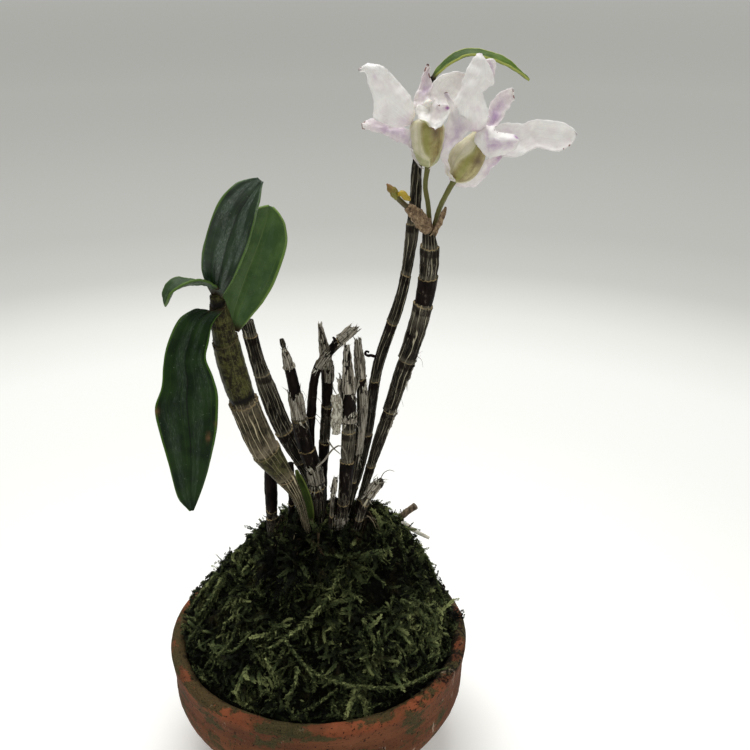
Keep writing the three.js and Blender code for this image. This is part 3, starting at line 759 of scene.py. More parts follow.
def stalk_finish(name, base_shade, tip_shade):
    finish = Finish(name, Roughness=0.5, Subsurface_Weight=0.15, Subsurface_Scale=0.001)
    along = finish.axis(finish.place("UV"), 1)
    grain = finish.noise(finish.place(scale=(2, 2, 0.6)), 1.0, 4, 0.6)
    base = finish.mix((along * 0.14 + (grain - 0.5) * 0.6).step(0, 1), base_shade, tip_shade)
    return finish.shade(base, height=grain, depth=0.08)


def dried_scale():
    finish = Finish("dried_scale", Roughness=0.8)
    wrinkles = finish.noise(finish.place(scale=(1.6, 1.6, 1.2)), 1.0, 5, 0.65, 0.8)
    base = finish.ramp(wrinkles, (0.3, (52, 36, 26)), (0.48, (124, 100, 72)), (0.68, (188, 164, 130)))
    return finish.shade(base, height=wrinkles, depth=0.3)


def pale_root():
    finish = Finish("pale_root", Roughness=0.85, Subsurface_Weight=0.1, Subsurface_Scale=0.001)
    spots = finish.noise(finish.place(), 1.4, 4, 0.6)
    base = finish.ramp(spots, (0.3, (150, 146, 124)), (0.5, (206, 204, 188)), (0.7, (232, 230, 218)))
    return finish.shade(base, height=spots, depth=0.12)


def petal_finish(name, white, shade, flush_shade):
    """Thin crystalline tissue with faint veins, soft clouds of painted shade, a painted lavender flush and
    brown tips.
    """
    finish = Finish(
        name,
        Roughness=0.5,
        Specular_IOR_Level=0.3,
        Subsurface_Weight=0.5,
        Subsurface_Scale=0.001,
        Subsurface_Radius=(1.0, 0.95, 0.9),
    )
    across, along = finish.map_axes()
    veins = finish.streaks(across, along, 15, 1.3)
    lines = 1 - ((veins - 0.5).absolute()).step(0.0, 0.05)
    clouds = finish.noise(finish.place(), 0.30, 5, 0.62)
    grain = finish.noise(finish.place(), 5.0, 3, 0.65)
    # Soft clouds between the white and the shade colour: painted shade for the grey shading across the tissue
    base = finish.mix(clouds.step(0.36, 0.66) * 0.7 + grain.step(0.55, 0.7) * 0.2, white, shade)
    flush = finish.attribute("flush") * (clouds * 1.6 + veins * 0.6 - 0.2)
    base = finish.mix(flush.step(0.0, 1.1), base, flush_shade)
    base = finish.mix(lines * 0.14, base, (208, 190, 200))
    base = finish.mix(finish.attribute("green").step(0.0, 1.0), base, (160, 160, 108))
    base = finish.mix(finish.attribute("purple") * (clouds + 0.5), base, (136, 72, 150))
    tip = finish.attribute("brown") + (clouds - 0.5) * 0.6
    base = finish.mix(tip.step(0.42, 0.62) * 0.9, base, (112, 62, 54))
    return finish.shade(base, height=veins * 0.5 + grain * 0.4, depth=0.08)


def chin_finish():
    """The olive chin of a flower under the pale, see-through foot of its sepals, with a painted highlight
    along the skins' rims and the lens line.
    """
    finish = Finish(
        "chin", Roughness=0.45, Subsurface_Weight=0.3, Subsurface_Scale=0.001,
        Subsurface_Radius=(1.0, 1.0, 0.5),
    )
    around, along = finish.map_axes()
    veins = finish.streaks(around, along, 1.2, 0.10)
    clouds = finish.noise(finish.place(), 0.5, 5, 0.65)
    olive = finish.mix(clouds.step(0.35, 0.65), (150, 134, 82), (188, 176, 122))
    olive = finish.mix(finish.attribute("centre") * 0.7, olive, (156, 156, 78))
    olive = finish.mix(veins.step(0.50, 0.64) * 0.4, olive, (112, 96, 58))
    olive = finish.mix(finish.attribute("brown") * (clouds + 0.3), olive, (92, 66, 54))
    cream = finish.mix(clouds.step(0.35, 0.65), (214, 210, 178), (228, 222, 200))
    green = finish.mix(clouds.step(0.35, 0.65), (156, 158, 110), (190, 192, 152))
    pale = finish.mix(finish.attribute("below"), cream, green)
    pale = finish.mix(veins.step(0.5, 0.62) * 0.25, pale, (176, 178, 132))
    base = finish.mix(finish.attribute("skin") * 0.85, olive, pale)
    # A pale line along the skins' rims and the lens line: painted highlight
    base = finish.mix(finish.attribute("edge") * 0.55, base, (232, 228, 190))
    return finish.shade(base, height=veins * 0.5 + clouds * 0.5, depth=0.10)


# The bowl


def smooth_outline(corners, steps):
    path = Path([(radius, 0, height) for radius, height in corners])
    return path.at(np.linspace(0, 1, steps + 1))


def bowl(finish):
    """The outline is spun, made uneven as by hand, and drilled."""
    rim = []
    for step in range(1, POT_LIP_STEPS):
        angle = math.pi * step / POT_LIP_STEPS
        reach = POT_RIM - POT_WALL / 2 * (1 - math.cos(angle))
        rim.append((reach, 0, POT_HEIGHT - POT_LIP_ARCH + POT_LIP_ARCH * math.sin(angle)))
    outside = smooth_outline(POT_OUTSIDE, POT_OUTSIDE_STEPS)
    inside = smooth_outline(POT_INSIDE, POT_INSIDE_STEPS)
    foot = [(radius, 0, 0) for radius in POT_FOOT_RINGS]
    floor = [(radius, 0, POT_INSIDE[-1][1]) for radius in POT_FLOOR_RINGS]
    outline = [*foot, *outside, *rim, *inside, *floor]
    mesh = bpy.data.meshes.new("pot_body")
    edges = [(i, i + 1) for i in range(len(outline) - 1)]
    mesh.from_pydata([Vector(corner) * MM for corner in outline], edges, [])
    piece = add_object("pot_body", mesh)
    spin = {"steps": POT_SIDES, "angle": 2 * math.pi, "center": (0, 0, 0), "axis": (0, 0, 1)}
    edit(piece, (bpy.ops.mesh.spin, spin))
    close_seams(piece)
    shape_by_hand(piece)
    for hole in range(POT_HOLES):
        drill_hole(piece, 2 * math.pi * hole / POT_HOLES)
    return finish_piece(piece, finish, "terracotta", "pot")


def shape_by_hand(piece):
    """Throwing rings, a slightly uneven rim, and small chips and knocks."""
    count = len(piece.data.vertices)
    flat = np.zeros(count * 3, np.float32)
    piece.data.vertices.foreach_get("co", flat)
    points = flat.reshape(-1, 3).astype(float) / MM
    reach = np.hypot(points[:, 0], points[:, 1])
    height = points[:, 2]
    above = np.clip(height / 6, 0, 1)
    rings = 0.06 * np.sin(height * 2.1 + 0.8 * ripple(points * [1, 1, 0.2], 50, 3))
    knocks = 0.10 * ripple(points, 16, 5) + 0.05 * ripple(points, 3.4, 8)
    outwards = np.stack([points[:, 0], points[:, 1], 0 * height], 1) / np.maximum(reach, 1)[:, None]
    near_lip = np.clip((height - 33) / 3, 0, 1)
    points += outwards * (above * (rings + knocks))[:, None]
    points[:, 2] += near_lip * (0.35 * ripple(points * [1, 1, 0], 42, 11) + 0.12 * ripple(points, 4, 13))
    piece.data.vertices.foreach_set("co", (points * MM).astype(np.float32).ravel())


def drill_hole(piece, angle):
    place = (POT_HOLE_RING * MM * math.cos(angle), POT_HOLE_RING * MM * math.sin(angle), 0)
    deselect_all()
    bpy.ops.mesh.primitive_cylinder_add(vertices=40, radius=POT_HOLE_RADIUS * MM, depth=0.02, location=place)
    drill = bpy.context.object
    apply_modifier(piece, "BOOLEAN", operation="DIFFERENCE", object=drill, solver="EXACT")
    bpy.data.objects.remove(drill)


# The moss


def moss_height(x, y):
    """A dome that rises steeply from front and back, with its peak right of the middle."""
    inwards = 1 - np.minimum(1, (x ** 2 + y ** 2) / MOSS_RADIUS ** 2)
    dx, dy = x - MOSS_PEAK_PLACE[0] * inwards, y - MOSS_PEAK_PLACE[1] * inwards
    reach = np.minimum(1, np.hypot(dx, dy) / MOSS_RADIUS)
    sideways = dx ** 2 / (dx ** 2 + dy ** 2 + 1e-6)
    edge = MOSS_EDGE_LIFT + MOSS_EDGE_TILT * y / MOSS_RADIUS
    return POT_HEIGHT + edge + (MOSS_PEAK - edge) * (1 - reach ** (1.3 + 0.9 * sideways))


def moss_floor(x, y):
    """The dark body of the mound: lumpy, and inset so that the shoots on it reach the mound's height."""
    spots = np.stack([x, y], -1)
    lumps = 1.2 * ripple(spots, 10, 21) + 0.6 * ripple(spots, 4, 22)
    lumps = lumps + 2.2 * bell(np.hypot(x - MOSS_BUMP_PLACE[0], y - MOSS_BUMP_PLACE[1]), 3.4)
    return moss_height(MOSS_NARROWING * x, MOSS_NARROWING * y) - MOSS_INSET + lumps


def moss_ground(finish):
    rings, sides = MOSS_GRID
    turn = 2 * math.pi * np.arange(sides + 1) / sides
    reach = np.concatenate([[MOSS_RADIUS, MOSS_RADIUS], MOSS_RADIUS * (1 - np.arange(1, rings + 1) / rings)])
    x, y = reach[:, None] * np.cos(turn), reach[:, None] * np.sin(turn)
    z = moss_floor(x, y) + 0.35 * ripple(np.stack([x, y], -1), 1.6, 23) - 0.4
    z[0] = MOSS_FOOT
    points = np.stack([x, y, z], -1)
    piece = grid_piece("moss_ground", points)
    close_seams(piece)
    return finish_piece(piece, finish, "moss", "moss_mound")


def leaflet(length, width, hollow):
    """A tiny pointed leaf along +X, hollowed like a spoon: one four-cornered face."""
    return np.array([
        [0, 0, 0], [0.45 * length, -width, hollow], [length, 0, -hollow], [0.45 * length, width, hollow],
    ])


def small_scale(length, width, hollow):
    """A scale along +X, too small to need a rounder outline: one three-cornered face."""
    return np.array([[0.08 * length, -width, hollow], [length, 0, -hollow], [0.08 * length, width, hollow]])


def turned_about(axis, points, angle):
    """Points turned about the X, Y or Z axis (0, 1 or 2)."""
    c, s = math.cos(angle), math.sin(angle)
    first, second = [other for other in range(3) if other != axis]
    turned = points.copy()
    turned[:, first] = c * points[:, first] - s * points[:, second]
    turned[:, second] = s * points[:, first] + c * points[:, second]
    return turned


def bend_shoot(points, droop, sway):
    """Bends a straight shoot along +X: down by droop and sideways by sway, in radians to its tip."""
    share = np.clip(points[:, 0], 0, 1.1)
    steps = np.linspace(0, 1.1, 45)
    pitch, yaw = droop * steps, sway * steps
    heading = np.stack([np.cos(pitch) * np.cos(yaw), np.cos(pitch) * np.sin(yaw), -np.sin(pitch)], 1)
    centre = np.cumsum(heading, axis=0) * (steps[1] - steps[0])
    middle = np.stack([np.interp(share, steps, axis) for axis in centre.T], 1)
    pitch, yaw = droop * share, sway * share
    beside = np.stack([-np.sin(yaw), np.cos(yaw), 0 * yaw], 1)
    above = np.stack([np.sin(pitch) * np.cos(yaw), np.sin(pitch) * np.sin(yaw), np.cos(pitch)], 1)
    return middle + points[:, 1:2] * beside + points[:, 2:3] * above


def feather_leaflets(draw, steps=18):
    """Two rows of leaflets, as on a flat, creeping shoot."""
    for step in range(steps):
        place = step / (steps - 1)
        for side in (-1, 1):
            size = (2.6 / steps - 0.07 * place ** 2) * draw.uniform(0.7, 1.3)
            points = leaflet(size, size * 0.28, size * draw.uniform(0.0, 0.15))
            points = turned_about(0, points, side * draw.uniform(-0.6, 1.0))
            points = turned_about(2, points, side * draw.uniform(0.45, 1.0))
            yield points + [place * 0.92, 0, draw.uniform(-0.015, 0.02)], place


def sprig_leaflets(draw):
    """A short feather of few leaflets."""
    yield from feather_leaflets(draw, 11)


def braid_leaflets(draw):
    """Scales that overlap all round a plump shoot."""
    for step in range(13):
        place = step / 12
        girth = 0.055 * math.sin(math.pi * (0.16 + 0.76 * place)) ** 0.7
        for side in range(3):
            points = leaflet(0.16, 0.05, -0.025)
            points = turned_about(1, points, 0.28) + [0, 0, girth]
            points = turned_about(0, points, 2 * math.pi * side / 3 + step * 1.05 + draw.uniform(-0.15, 0.15))
            yield points + [place * 0.85, 0, 0], place


def fuzz_leaflets(draw):
    """A few pointed leaves that spread from one foot."""
    for blade_index in range(6):
        size = draw.uniform(0.6, 1.0)
        points = turned_about(1, small_scale(size, 0.12, 0.02), draw.uniform(0.2, 1.1))
        yield turned_about(0, points, 2 * math.pi * blade_index / 6 + draw.uniform(-0.4, 0.4)), 0.5


SHOOT_KINDS = {
    "feather": feather_leaflets,
    "sprig": sprig_leaflets,
    "braid": braid_leaflets,
    "fuzz": fuzz_leaflets,
}


# How shoots bend: down and sideways, in radians from foot to tip
GENTLE = [(0.3, 0.4), (0.9, -0.5), (-0.4, 0.8), (0.5, -0.9)]
CURLY = [(1.6, 0.3), (0.9, 1.6), (0.7, -1.7), (2.4, -0.4), (-0.5, 0.9), (1.2, -0.8)]
WILD = GENTLE + CURLY

# Kind, count, seed, lengths, spread from downhill, lifts, sunk depth, bends, tone, and place (None: the edge)
SHOOTS = {
    "moss_fuzz": ("fuzz", 16000, 41, (0.7, 1.7), 1.8, (0.3, 1.4), 0.2, GENTLE, 0.10, MOSS_ALL),
    "moss_sprigs": ("sprig", 2900, 42, (1.6, 3.6), 1.6, (0.0, 0.9), 0.1, WILD, 0.18, MOSS_ALL),
    "moss_feathers": ("feather", 1300, 43, (3.0, 5.5), 1.3, (0.0, 0.6), -0.2, CURLY, 0.36, MOSS_ALL),
    "moss_braids": ("braid", 420, 44, (2.5, 5.0), 1.1, (0.0, 0.6), -0.3, CURLY, 0.44, MOSS_ALL),
    "moss_tufts": ("feather", 520, 45, (4.0, 7.0), 1.6, (0.9, 1.55), -1.0, WILD, 0.10, MOSS_BY_CANES),
    "moss_edge": ("sprig", 600, 48, (1.8, 3.8), 1.0, (0.2, 1.0), 0.2, WILD, 0.16, None),
}

# Count, seed, length, size of their scales, rise off the mound, and tone
STRANDS = {
    "moss_strands": (300, 46, 6.5, 1.05, 1.5, 0.36),
    "moss_threads": (500, 47, 5.0, 0.75, 1.3, 0.26),
}


def shoot_pattern(kind, droop, sway, seed):
    """One moss shoot of length 1: its corners, and how near each lies to the shoot's tip."""
    leaflets = list(SHOOT_KINDS[kind](np.random.default_rng(seed)))
    corners = np.concatenate([points for points, _ in leaflets])
    sides = len(leaflets[0][0])
    return bend_shoot(corners, droop, sway), np.repeat([place for _, place in leaflets], sides)


def mesh_piece(name, corners, sides=4):
    """A mesh of loose faces with so many sides each, made in one go because it holds thousands of copies."""
    count = len(corners)
    mesh = bpy.data.meshes.new(name)
    mesh.vertices.add(count)
    mesh.vertices.foreach_set("co", (corners * MM).astype(np.float32).ravel())
    mesh.loops.add(count)
    mesh.loops.foreach_set("vertex_index", np.arange(count, dtype=np.int32))
    mesh.polygons.add(count // sides)
    mesh.polygons.foreach_set("loop_start", np.arange(0, count, sides, dtype=np.int32))
    mesh.update(calc_edges=True)
    return add_object(name, mesh)


def copies(patterns, kinds, spots, frames, sizes, tones):
    """Copies of patterns, placed and turned: all their corners, and the tone at each."""
    stack = np.stack([corners for corners, _ in patterns])
    tips = np.stack([tip for _, tip in patterns])
    placed = np.einsum("ijk,ilk->ijl", stack[kinds] * sizes[:, None, None], frames) + spots[:, None]
    tone = tones[:, None] + 0.35 * (tips[kinds] - 0.4)
    return placed.reshape(-1, 3), tone.ravel()


def keep_off_bowl(points):
    """Shoots stay inside the rim, and at the right and back spill over its lip."""
    reach = np.hypot(points[:, 0], points[:, 1])
    bearing = np.degrees(np.arctan2(points[:, 1], points[:, 0]))
    spills = (bearing > SPILL_BEARINGS[0]) & (bearing < SPILL_BEARINGS[1])
    limit = np.where(spills, SPILL_RADIUS, MOSS_RADIUS)
    low = points[:, 2] < SPILL_HEIGHT
    scale = np.where(low & (reach > MOSS_RADIUS) & ~spills, MOSS_RADIUS / np.maximum(reach, 1), 1)
    points[:, :2] *= scale[:, None]
    over = spills & (reach > POT_RIM - POT_WALL - 1) & low
    points[over, 2] = SPILL_HEIGHT
    furthest = limit + SHOOT_OVERHANG
    far = reach > furthest
    points[far, :2] *= (furthest / np.maximum(reach, 1))[far, None]
    return points


def moss_piece(name, corners, tones, finish, sides=3):
    piece = mesh_piece(name, keep_off_bowl(corners), sides)
    paint(piece, "tone", tones)
    return finish_piece(piece, finish, "moss", smooth=False)


def moss_slope(x, y, step=0.4):
    slope_x = (moss_floor(x + step, y) - moss_floor(x - step, y)) / (2 * step)
    slope_y = (moss_floor(x, y + step) - moss_floor(x, y - step)) / (2 * step)
    return slope_x, slope_y


def scatter_spots(count, seed, region):
    """Random places in an oval (x, y, half width, half depth) of the mound, with its slope there."""
    draw = np.random.default_rng(seed)
    middle_x, middle_y, half_width, half_depth = region
    reach = np.sqrt(draw.uniform(0, 1.0, count * 3))
    turn = draw.uniform(0, 2 * math.pi, count * 3)
    x, y = middle_x + half_width * reach * np.cos(turn), middle_y + half_depth * reach * np.sin(turn)
    slope_x, slope_y = moss_slope(x, y)
    steep = np.sqrt(1 + slope_x ** 2 + slope_y ** 2)
    kept = np.flatnonzero(draw.uniform(0, 3.2, count * 3) < steep)[:count]
    x, y = x[kept], y[kept]
    normal = unit(np.stack([-slope_x[kept], -slope_y[kept], np.ones(len(kept))], 1))
    downhill = np.stack([-slope_x[kept], -slope_y[kept], -(slope_x[kept] ** 2 + slope_y[kept] ** 2)], 1)
    outwards = np.stack([x, y, 0 * x], 1) / MOSS_RADIUS
    downhill = unit(downhill + 0.15 * outwards + 1e-6)
    return np.stack([x, y, moss_floor(x, y)], 1), normal, downhill, draw


def edge_spots(count, seed):
    """Random places on the steep edge of the mound, which stands above the rim at the sides and back."""
    draw = np.random.default_rng(seed)
    turn = draw.uniform(0, 2 * math.pi, count * 3)
    outwards = np.stack([np.cos(turn), np.sin(turn), 0 * turn], 1)
    x, y, _ = (outwards * MOSS_RADIUS).T
    wall = moss_floor(x, y) - POT_HEIGHT
    kept = np.flatnonzero(draw.uniform(0, MOSS_EDGE_LIFT + MOSS_EDGE_TILT, count * 3) < wall)[:count]
    z = POT_HEIGHT + wall[kept] * draw.uniform(0, 1, len(kept))
    downhill = unit(0.4 * outwards[kept] - [0, 0, 1])
    return np.stack([x[kept], y[kept], z], 1), outwards[kept], downhill, draw


def shoots(name, finish, kind, count, seed, length, spread, lift, sink, bends, tone, region):
    """Scatters shoots over the mound: spread turns them from downhill, lift raises them off it."""
    spots, normal, downhill, draw = scatter_spots(count, seed, region) if region else edge_spots(count, seed)
    total = len(spots)
    sideways = np.cross(normal, downhill)
    yaw = draw.normal(0, spread, total)[:, None]
    rise = draw.uniform(*lift, total)[:, None]
    flat = downhill * np.cos(yaw) + sideways * np.sin(yaw)
    heading = unit(flat * np.cos(rise) + normal * np.sin(rise))
    across = unit(np.cross(normal, heading))
    up = np.cross(heading, across)
    frames = np.stack([heading, across, up], axis=2)
    patterns = [shoot_pattern(kind, *bend, seed + i) for i, bend in enumerate(bends)]
    kinds = draw.integers(0, len(patterns), total)
    patch = ripple(spots[:, :2], 13, 31)
    sizes = draw.uniform(*length, total) * np.clip(1 + 0.7 * ripple(spots[:, :2], 8, 32), 0.4, 1.5)
    tones = tone + 0.22 * patch + draw.normal(0, 0.18, total)
    corners, shade = copies(patterns, kinds, spots - normal * sink, frames, sizes, tones)
    return moss_piece(name, corners, shade, finish, 3 if kind == "fuzz" else 4)


# The long creeping shoots: length of their scales, height above the mound, and places (x, y) on it
CREEPERS = [
    (2.0, 3.4, [(10.6, -7.2), (8.9, -9.2), (5.2, -14.8), (2, -19), (-5.8, -23.2), (-10.8, -24.2)]),
    (1.2, 2.4, [(-7, -24), (-0.7, -28.2), (7.9, -30.8), (21.4, -28), (30.4, -21.5), (34, -20)]),
    (1.5, 1.8, [(-12, -24.5), (-10.4, -26.5), (-9, -29.2)]),
    (1.5, 1.8, [(-3.9, -27.2), (-4.3, -30), (-6.7, -32)]),
    (1.5, 1.8, [(-1.5, -27.8), (0.3, -29.5), (0.4, -32)]),
    (1.2, 1.9, [(1.1, -29.5), (4, -29.8), (2.5, -30.5)]),
    (1.1, 1.2, [(-2.2, -34.5), (1.6, -33.5), (6, -31)]),
    (1.4, 1.6, [(23.4, -23.2), (22.2, -25.2), (22.9, -26.2)]),
    (1.3, 1.6, [(28.4, -18.2), (31.2, -16.2), (30.1, -18.2)]),
    (1.0, 2.0, [(23.8, -13.8), (29.2, -9.8), (31.1, -9.8), (30.1, -13.8)]),
    (1.1, 1.8, [(21.5, -15), (25.4, -14), (28, -14), (26.6, -17.5)]),
    (1.0, 1.8, [(29.5, -7.8), (31.4, -7.8), (31, -11.8)]),
    (0.6, 2.4, [(-8.3, -28.5), (-6.4, -27), (-3.9, -26.8)]),
    (0.6, 2.6, [(-11.8, -29.2), (-7.4, -27.2), (-4.4, -27)]),
    (0.8, 1.8, [(-33.6, -6), (-30.2, -6), (-27.3, -6)]),
    (0.8, 1.8, [(-34, -12), (-31, -9), (-28, -5), (-24, -1)]),
    (1.1, 1.8, [(-13.4, -13.8), (-14.6, -11.2), (-12.8, -10.5), (-8.8, -12.5)]),
    (0.9, 2.2, [(-6.1, -15.8), (-4.1, -14.5), (0.1, -14.5), (3.9, -15)]),
    (1.2, 1.6, [(7.6, -9.2), (11.4, -12.2), (14.4, -13.2), (17.7, -14)]),
    (1.0, 1.6, [(3.7, -7), (7.5, -6.2), (13.9, -7.2), (19, -8.2)]),
    (1.2, 1.8, [(-8.8, 1.5), (-7.7, -3.5), (-9.1, -6.5)]),
    (0.8, 1.6, [(-30.2, -1.8), (-27.6, 0.2), (-21.6, -2.2)]),
    (0.9, 1.6, [(-32.3, -7), (-31.7, -1.5), (-28.3, -0.5)]),
    (1.1, 1.4, [(-16, -18), (-20, -20), (-24, -19)]),
    (1.2, 1.4, [(12, -20), (15, -23), (14, -27)]),
    (1.0, 1.4, [(-22, -10), (-20, -14), (-21, -18), (-25, -20)]),
    (1.3, 3.2, [(-27, 2), (-31, 0), (-34.5, -1.5)]),
    (1.2, 3.4, [(-25, -3), (-29, -5), (-33, -5), (-36, -4)]),
    (1.2, 2.6, [(26, 4), (30, 3), (34, 1), (36, -1)]),
]


def clothe(trails, scale, brightness, draw):
    """Overlapping scales round moss strands: trails is [strand, step, xyz]. Gives corners and tones; scales
    that face up are lighter and those that face down darker, as painted light and shade.
    """
    strands, steps = trails.shape[:2]
    share = np.linspace(0, 1, steps)[None]
    heading = unit(np.gradient(trails, axis=1))
    across = unit(np.cross(heading, [0.0, 0.0, 1.0]) + 1e-6)
    up = np.cross(across, heading)
    pattern = (small_scale(0.85, 0.24, -0.08), np.full(3, 0.5))
    corners, tones = [], []
    for side in range(5):
        angle = side * 0.4 * math.pi + 2.4 * np.arange(steps) + draw.normal(0, 0.3, (strands, steps))
        outwards = across * np.cos(angle)[..., None] + up * np.sin(angle)[..., None]
        lean = unit(heading + outwards * draw.uniform(0.3, 1.1, (strands, steps, 1)))
        beside = unit(np.cross(outwards, lean))
        frames = np.stack([lean, beside, np.cross(lean, beside)], axis=-1).reshape(-1, 3, 3)
        sizes = scale * (1 - 0.5 * share ** 3) * draw.uniform(0.6, 1.35, (strands, steps))
        # Scales that face up get a lighter tone and those below a darker one: painted light and shade
        tone = brightness + 0.1 * outwards[..., 2] + draw.normal(0, 0.14, (strands, steps))
        spots = trails + outwards * (0.22 * scale * (1 - 0.6 * share))[..., None]
        placed, shade = copies(
            [pattern], np.zeros(sizes.size, int), spots.reshape(-1, 3), frames, sizes.ravel(), tone.ravel()
        )
        corners.append(placed)
        tones.append(shade)
    return np.concatenate(corners), np.concatenate(tones)


def creepers(finish):
    parts = []
    for index, (scale, rise, places) in enumerate(CREEPERS):
        path = Path([(x, y, moss_floor(x, y) + MOSS_INSET + rise) for x, y in map(np.array, places)])
        trail = path.at(np.linspace(0, 0.99, int(path.length / (0.24 * scale))))
        parts.append(clothe(trail[None], scale, 0.36 + 0.1 * scale, np.random.default_rng(400 + index)))
    return moss_piece("moss_creepers", *map(np.concatenate, zip(*parts)), finish)


def strands(name, finish, count, seed, length, scale, rise, tone):
    """Strands that wind over the mound, raised in the middle, clothed in scales."""
    spots, _, downhill, draw = scatter_spots(count, seed, MOSS_ALL)
    stride = 0.26 * scale
    steps = int(length / stride)
    bearing = np.arctan2(downhill[:, 1], downhill[:, 0]) + draw.normal(0, 1.1, count)
    curl, phase = draw.normal(0, 0.14, count), draw.uniform(0, 6.3, count)
    x, y = spots[:, 0], spots[:, 1]
    trail = []
    for step in range(steps):
        bearing = bearing + stride * (curl + 0.45 * np.sin(phase + 0.8 * stride * step))
        slope_x, slope_y = moss_slope(x, y)
        climb = slope_x * np.cos(bearing) + slope_y * np.sin(bearing)
        x = x + stride * np.cos(bearing) / np.sqrt(1 + climb ** 2)
        y = y + stride * np.sin(bearing) / np.sqrt(1 + climb ** 2)
        inwards = np.minimum(1, (MOSS_RADIUS + 1) / np.hypot(x, y))
        x, y = x * inwards, y * inwards
        height = rise * math.sin(math.pi * (0.1 + 0.8 * step / steps))
        height = height + 0.5 * np.sin(phase + 1.1 * stride * step)
        trail.append(np.stack([x, y, moss_floor(x, y) + height], -1))
    shade = tone + 0.2 * ripple(spots[:, :2], 13, 31) + draw.normal(0, 0.12, count)
    return moss_piece(name, *clothe(np.stack(trail, axis=1), scale, shade[:, None], draw), finish)


def moss(finish):
    """The shoots, from the short fuzz between the others to the long plump strands on top."""
    for name, row in SHOOTS.items():
        shoots(name, finish, *row)
    for name, row in STRANDS.items():
        strands(name, finish, *row)
    creepers(finish)


# Dark old roots and stalk ends that tangle round the feet of the canes: middle, half width and half depth
TANGLE_PLACE = (2, -2.5, 13, 6)
TANGLE_COUNT = 130


def tangle(finish):
    draw = np.random.default_rng(91)
    middle_x, middle_y, half_width, half_depth = TANGLE_PLACE
    turn = draw.uniform(0, 2 * math.pi, TANGLE_COUNT)
    reach = np.sqrt(draw.uniform(0, 1, TANGLE_COUNT))
    bearing = turn + draw.normal(0, 0.9, TANGLE_COUNT)
    curl, sway = draw.normal(0, 0.9, TANGLE_COUNT), draw.uniform(0.2, 1.5, TANGLE_COUNT)
    length, girth = draw.uniform(3, 8, TANGLE_COUNT), draw.uniform(0.14, 0.42, TANGLE_COUNT)
    share = np.linspace(0, 1, 11)[:, None]
    heading = bearing + curl * share * 2
    run = np.cumsum(np.stack([np.cos(heading), np.sin(heading)], -1), axis=0) / 11 * (length * 0.6)[:, None]
    x = middle_x + half_width * reach * np.cos(turn) + run[..., 0]
    y = middle_y + half_depth * reach * np.sin(turn) + run[..., 1]
    rise = (1 - share) * sway * 2.5 + 0.6 * np.sin(6 * share + 9 * sway) + 1.3
    trail = np.stack([x, y, moss_floor(x, y) + rise], -1)
    along = unit(np.gradient(trail, axis=0))
    across = unit(np.cross(along, [0.3, 0.2, 1.0]))
    over = np.cross(across, along)
    angle = 2 * math.pi * np.arange(7) / 6
    ring = across[..., None, :] * np.cos(angle)[:, None] + over[..., None, :] * np.sin(angle)[:, None]
    points = trail[..., None, :] + ring * (girth * (1 - 0.6 * share))[..., None, None]
    faces = np.stack([points[:-1, :, :-1], points[:-1, :, 1:], points[1:, :, 1:], points[1:, :, :-1]], axis=3)
    tone = np.broadcast_to(draw.uniform(0, 1, TANGLE_COUNT)[None, :, None, None], faces.shape[:4])
    piece = mesh_piece("root_tangle", faces.reshape(-1, 3))
    paint(piece, "tone", tone)
    return finish_piece(piece, finish, "rootstock", smooth=False)


# The canes. Routes run upwards, as do the places of the joints and of the skin that is left on them.

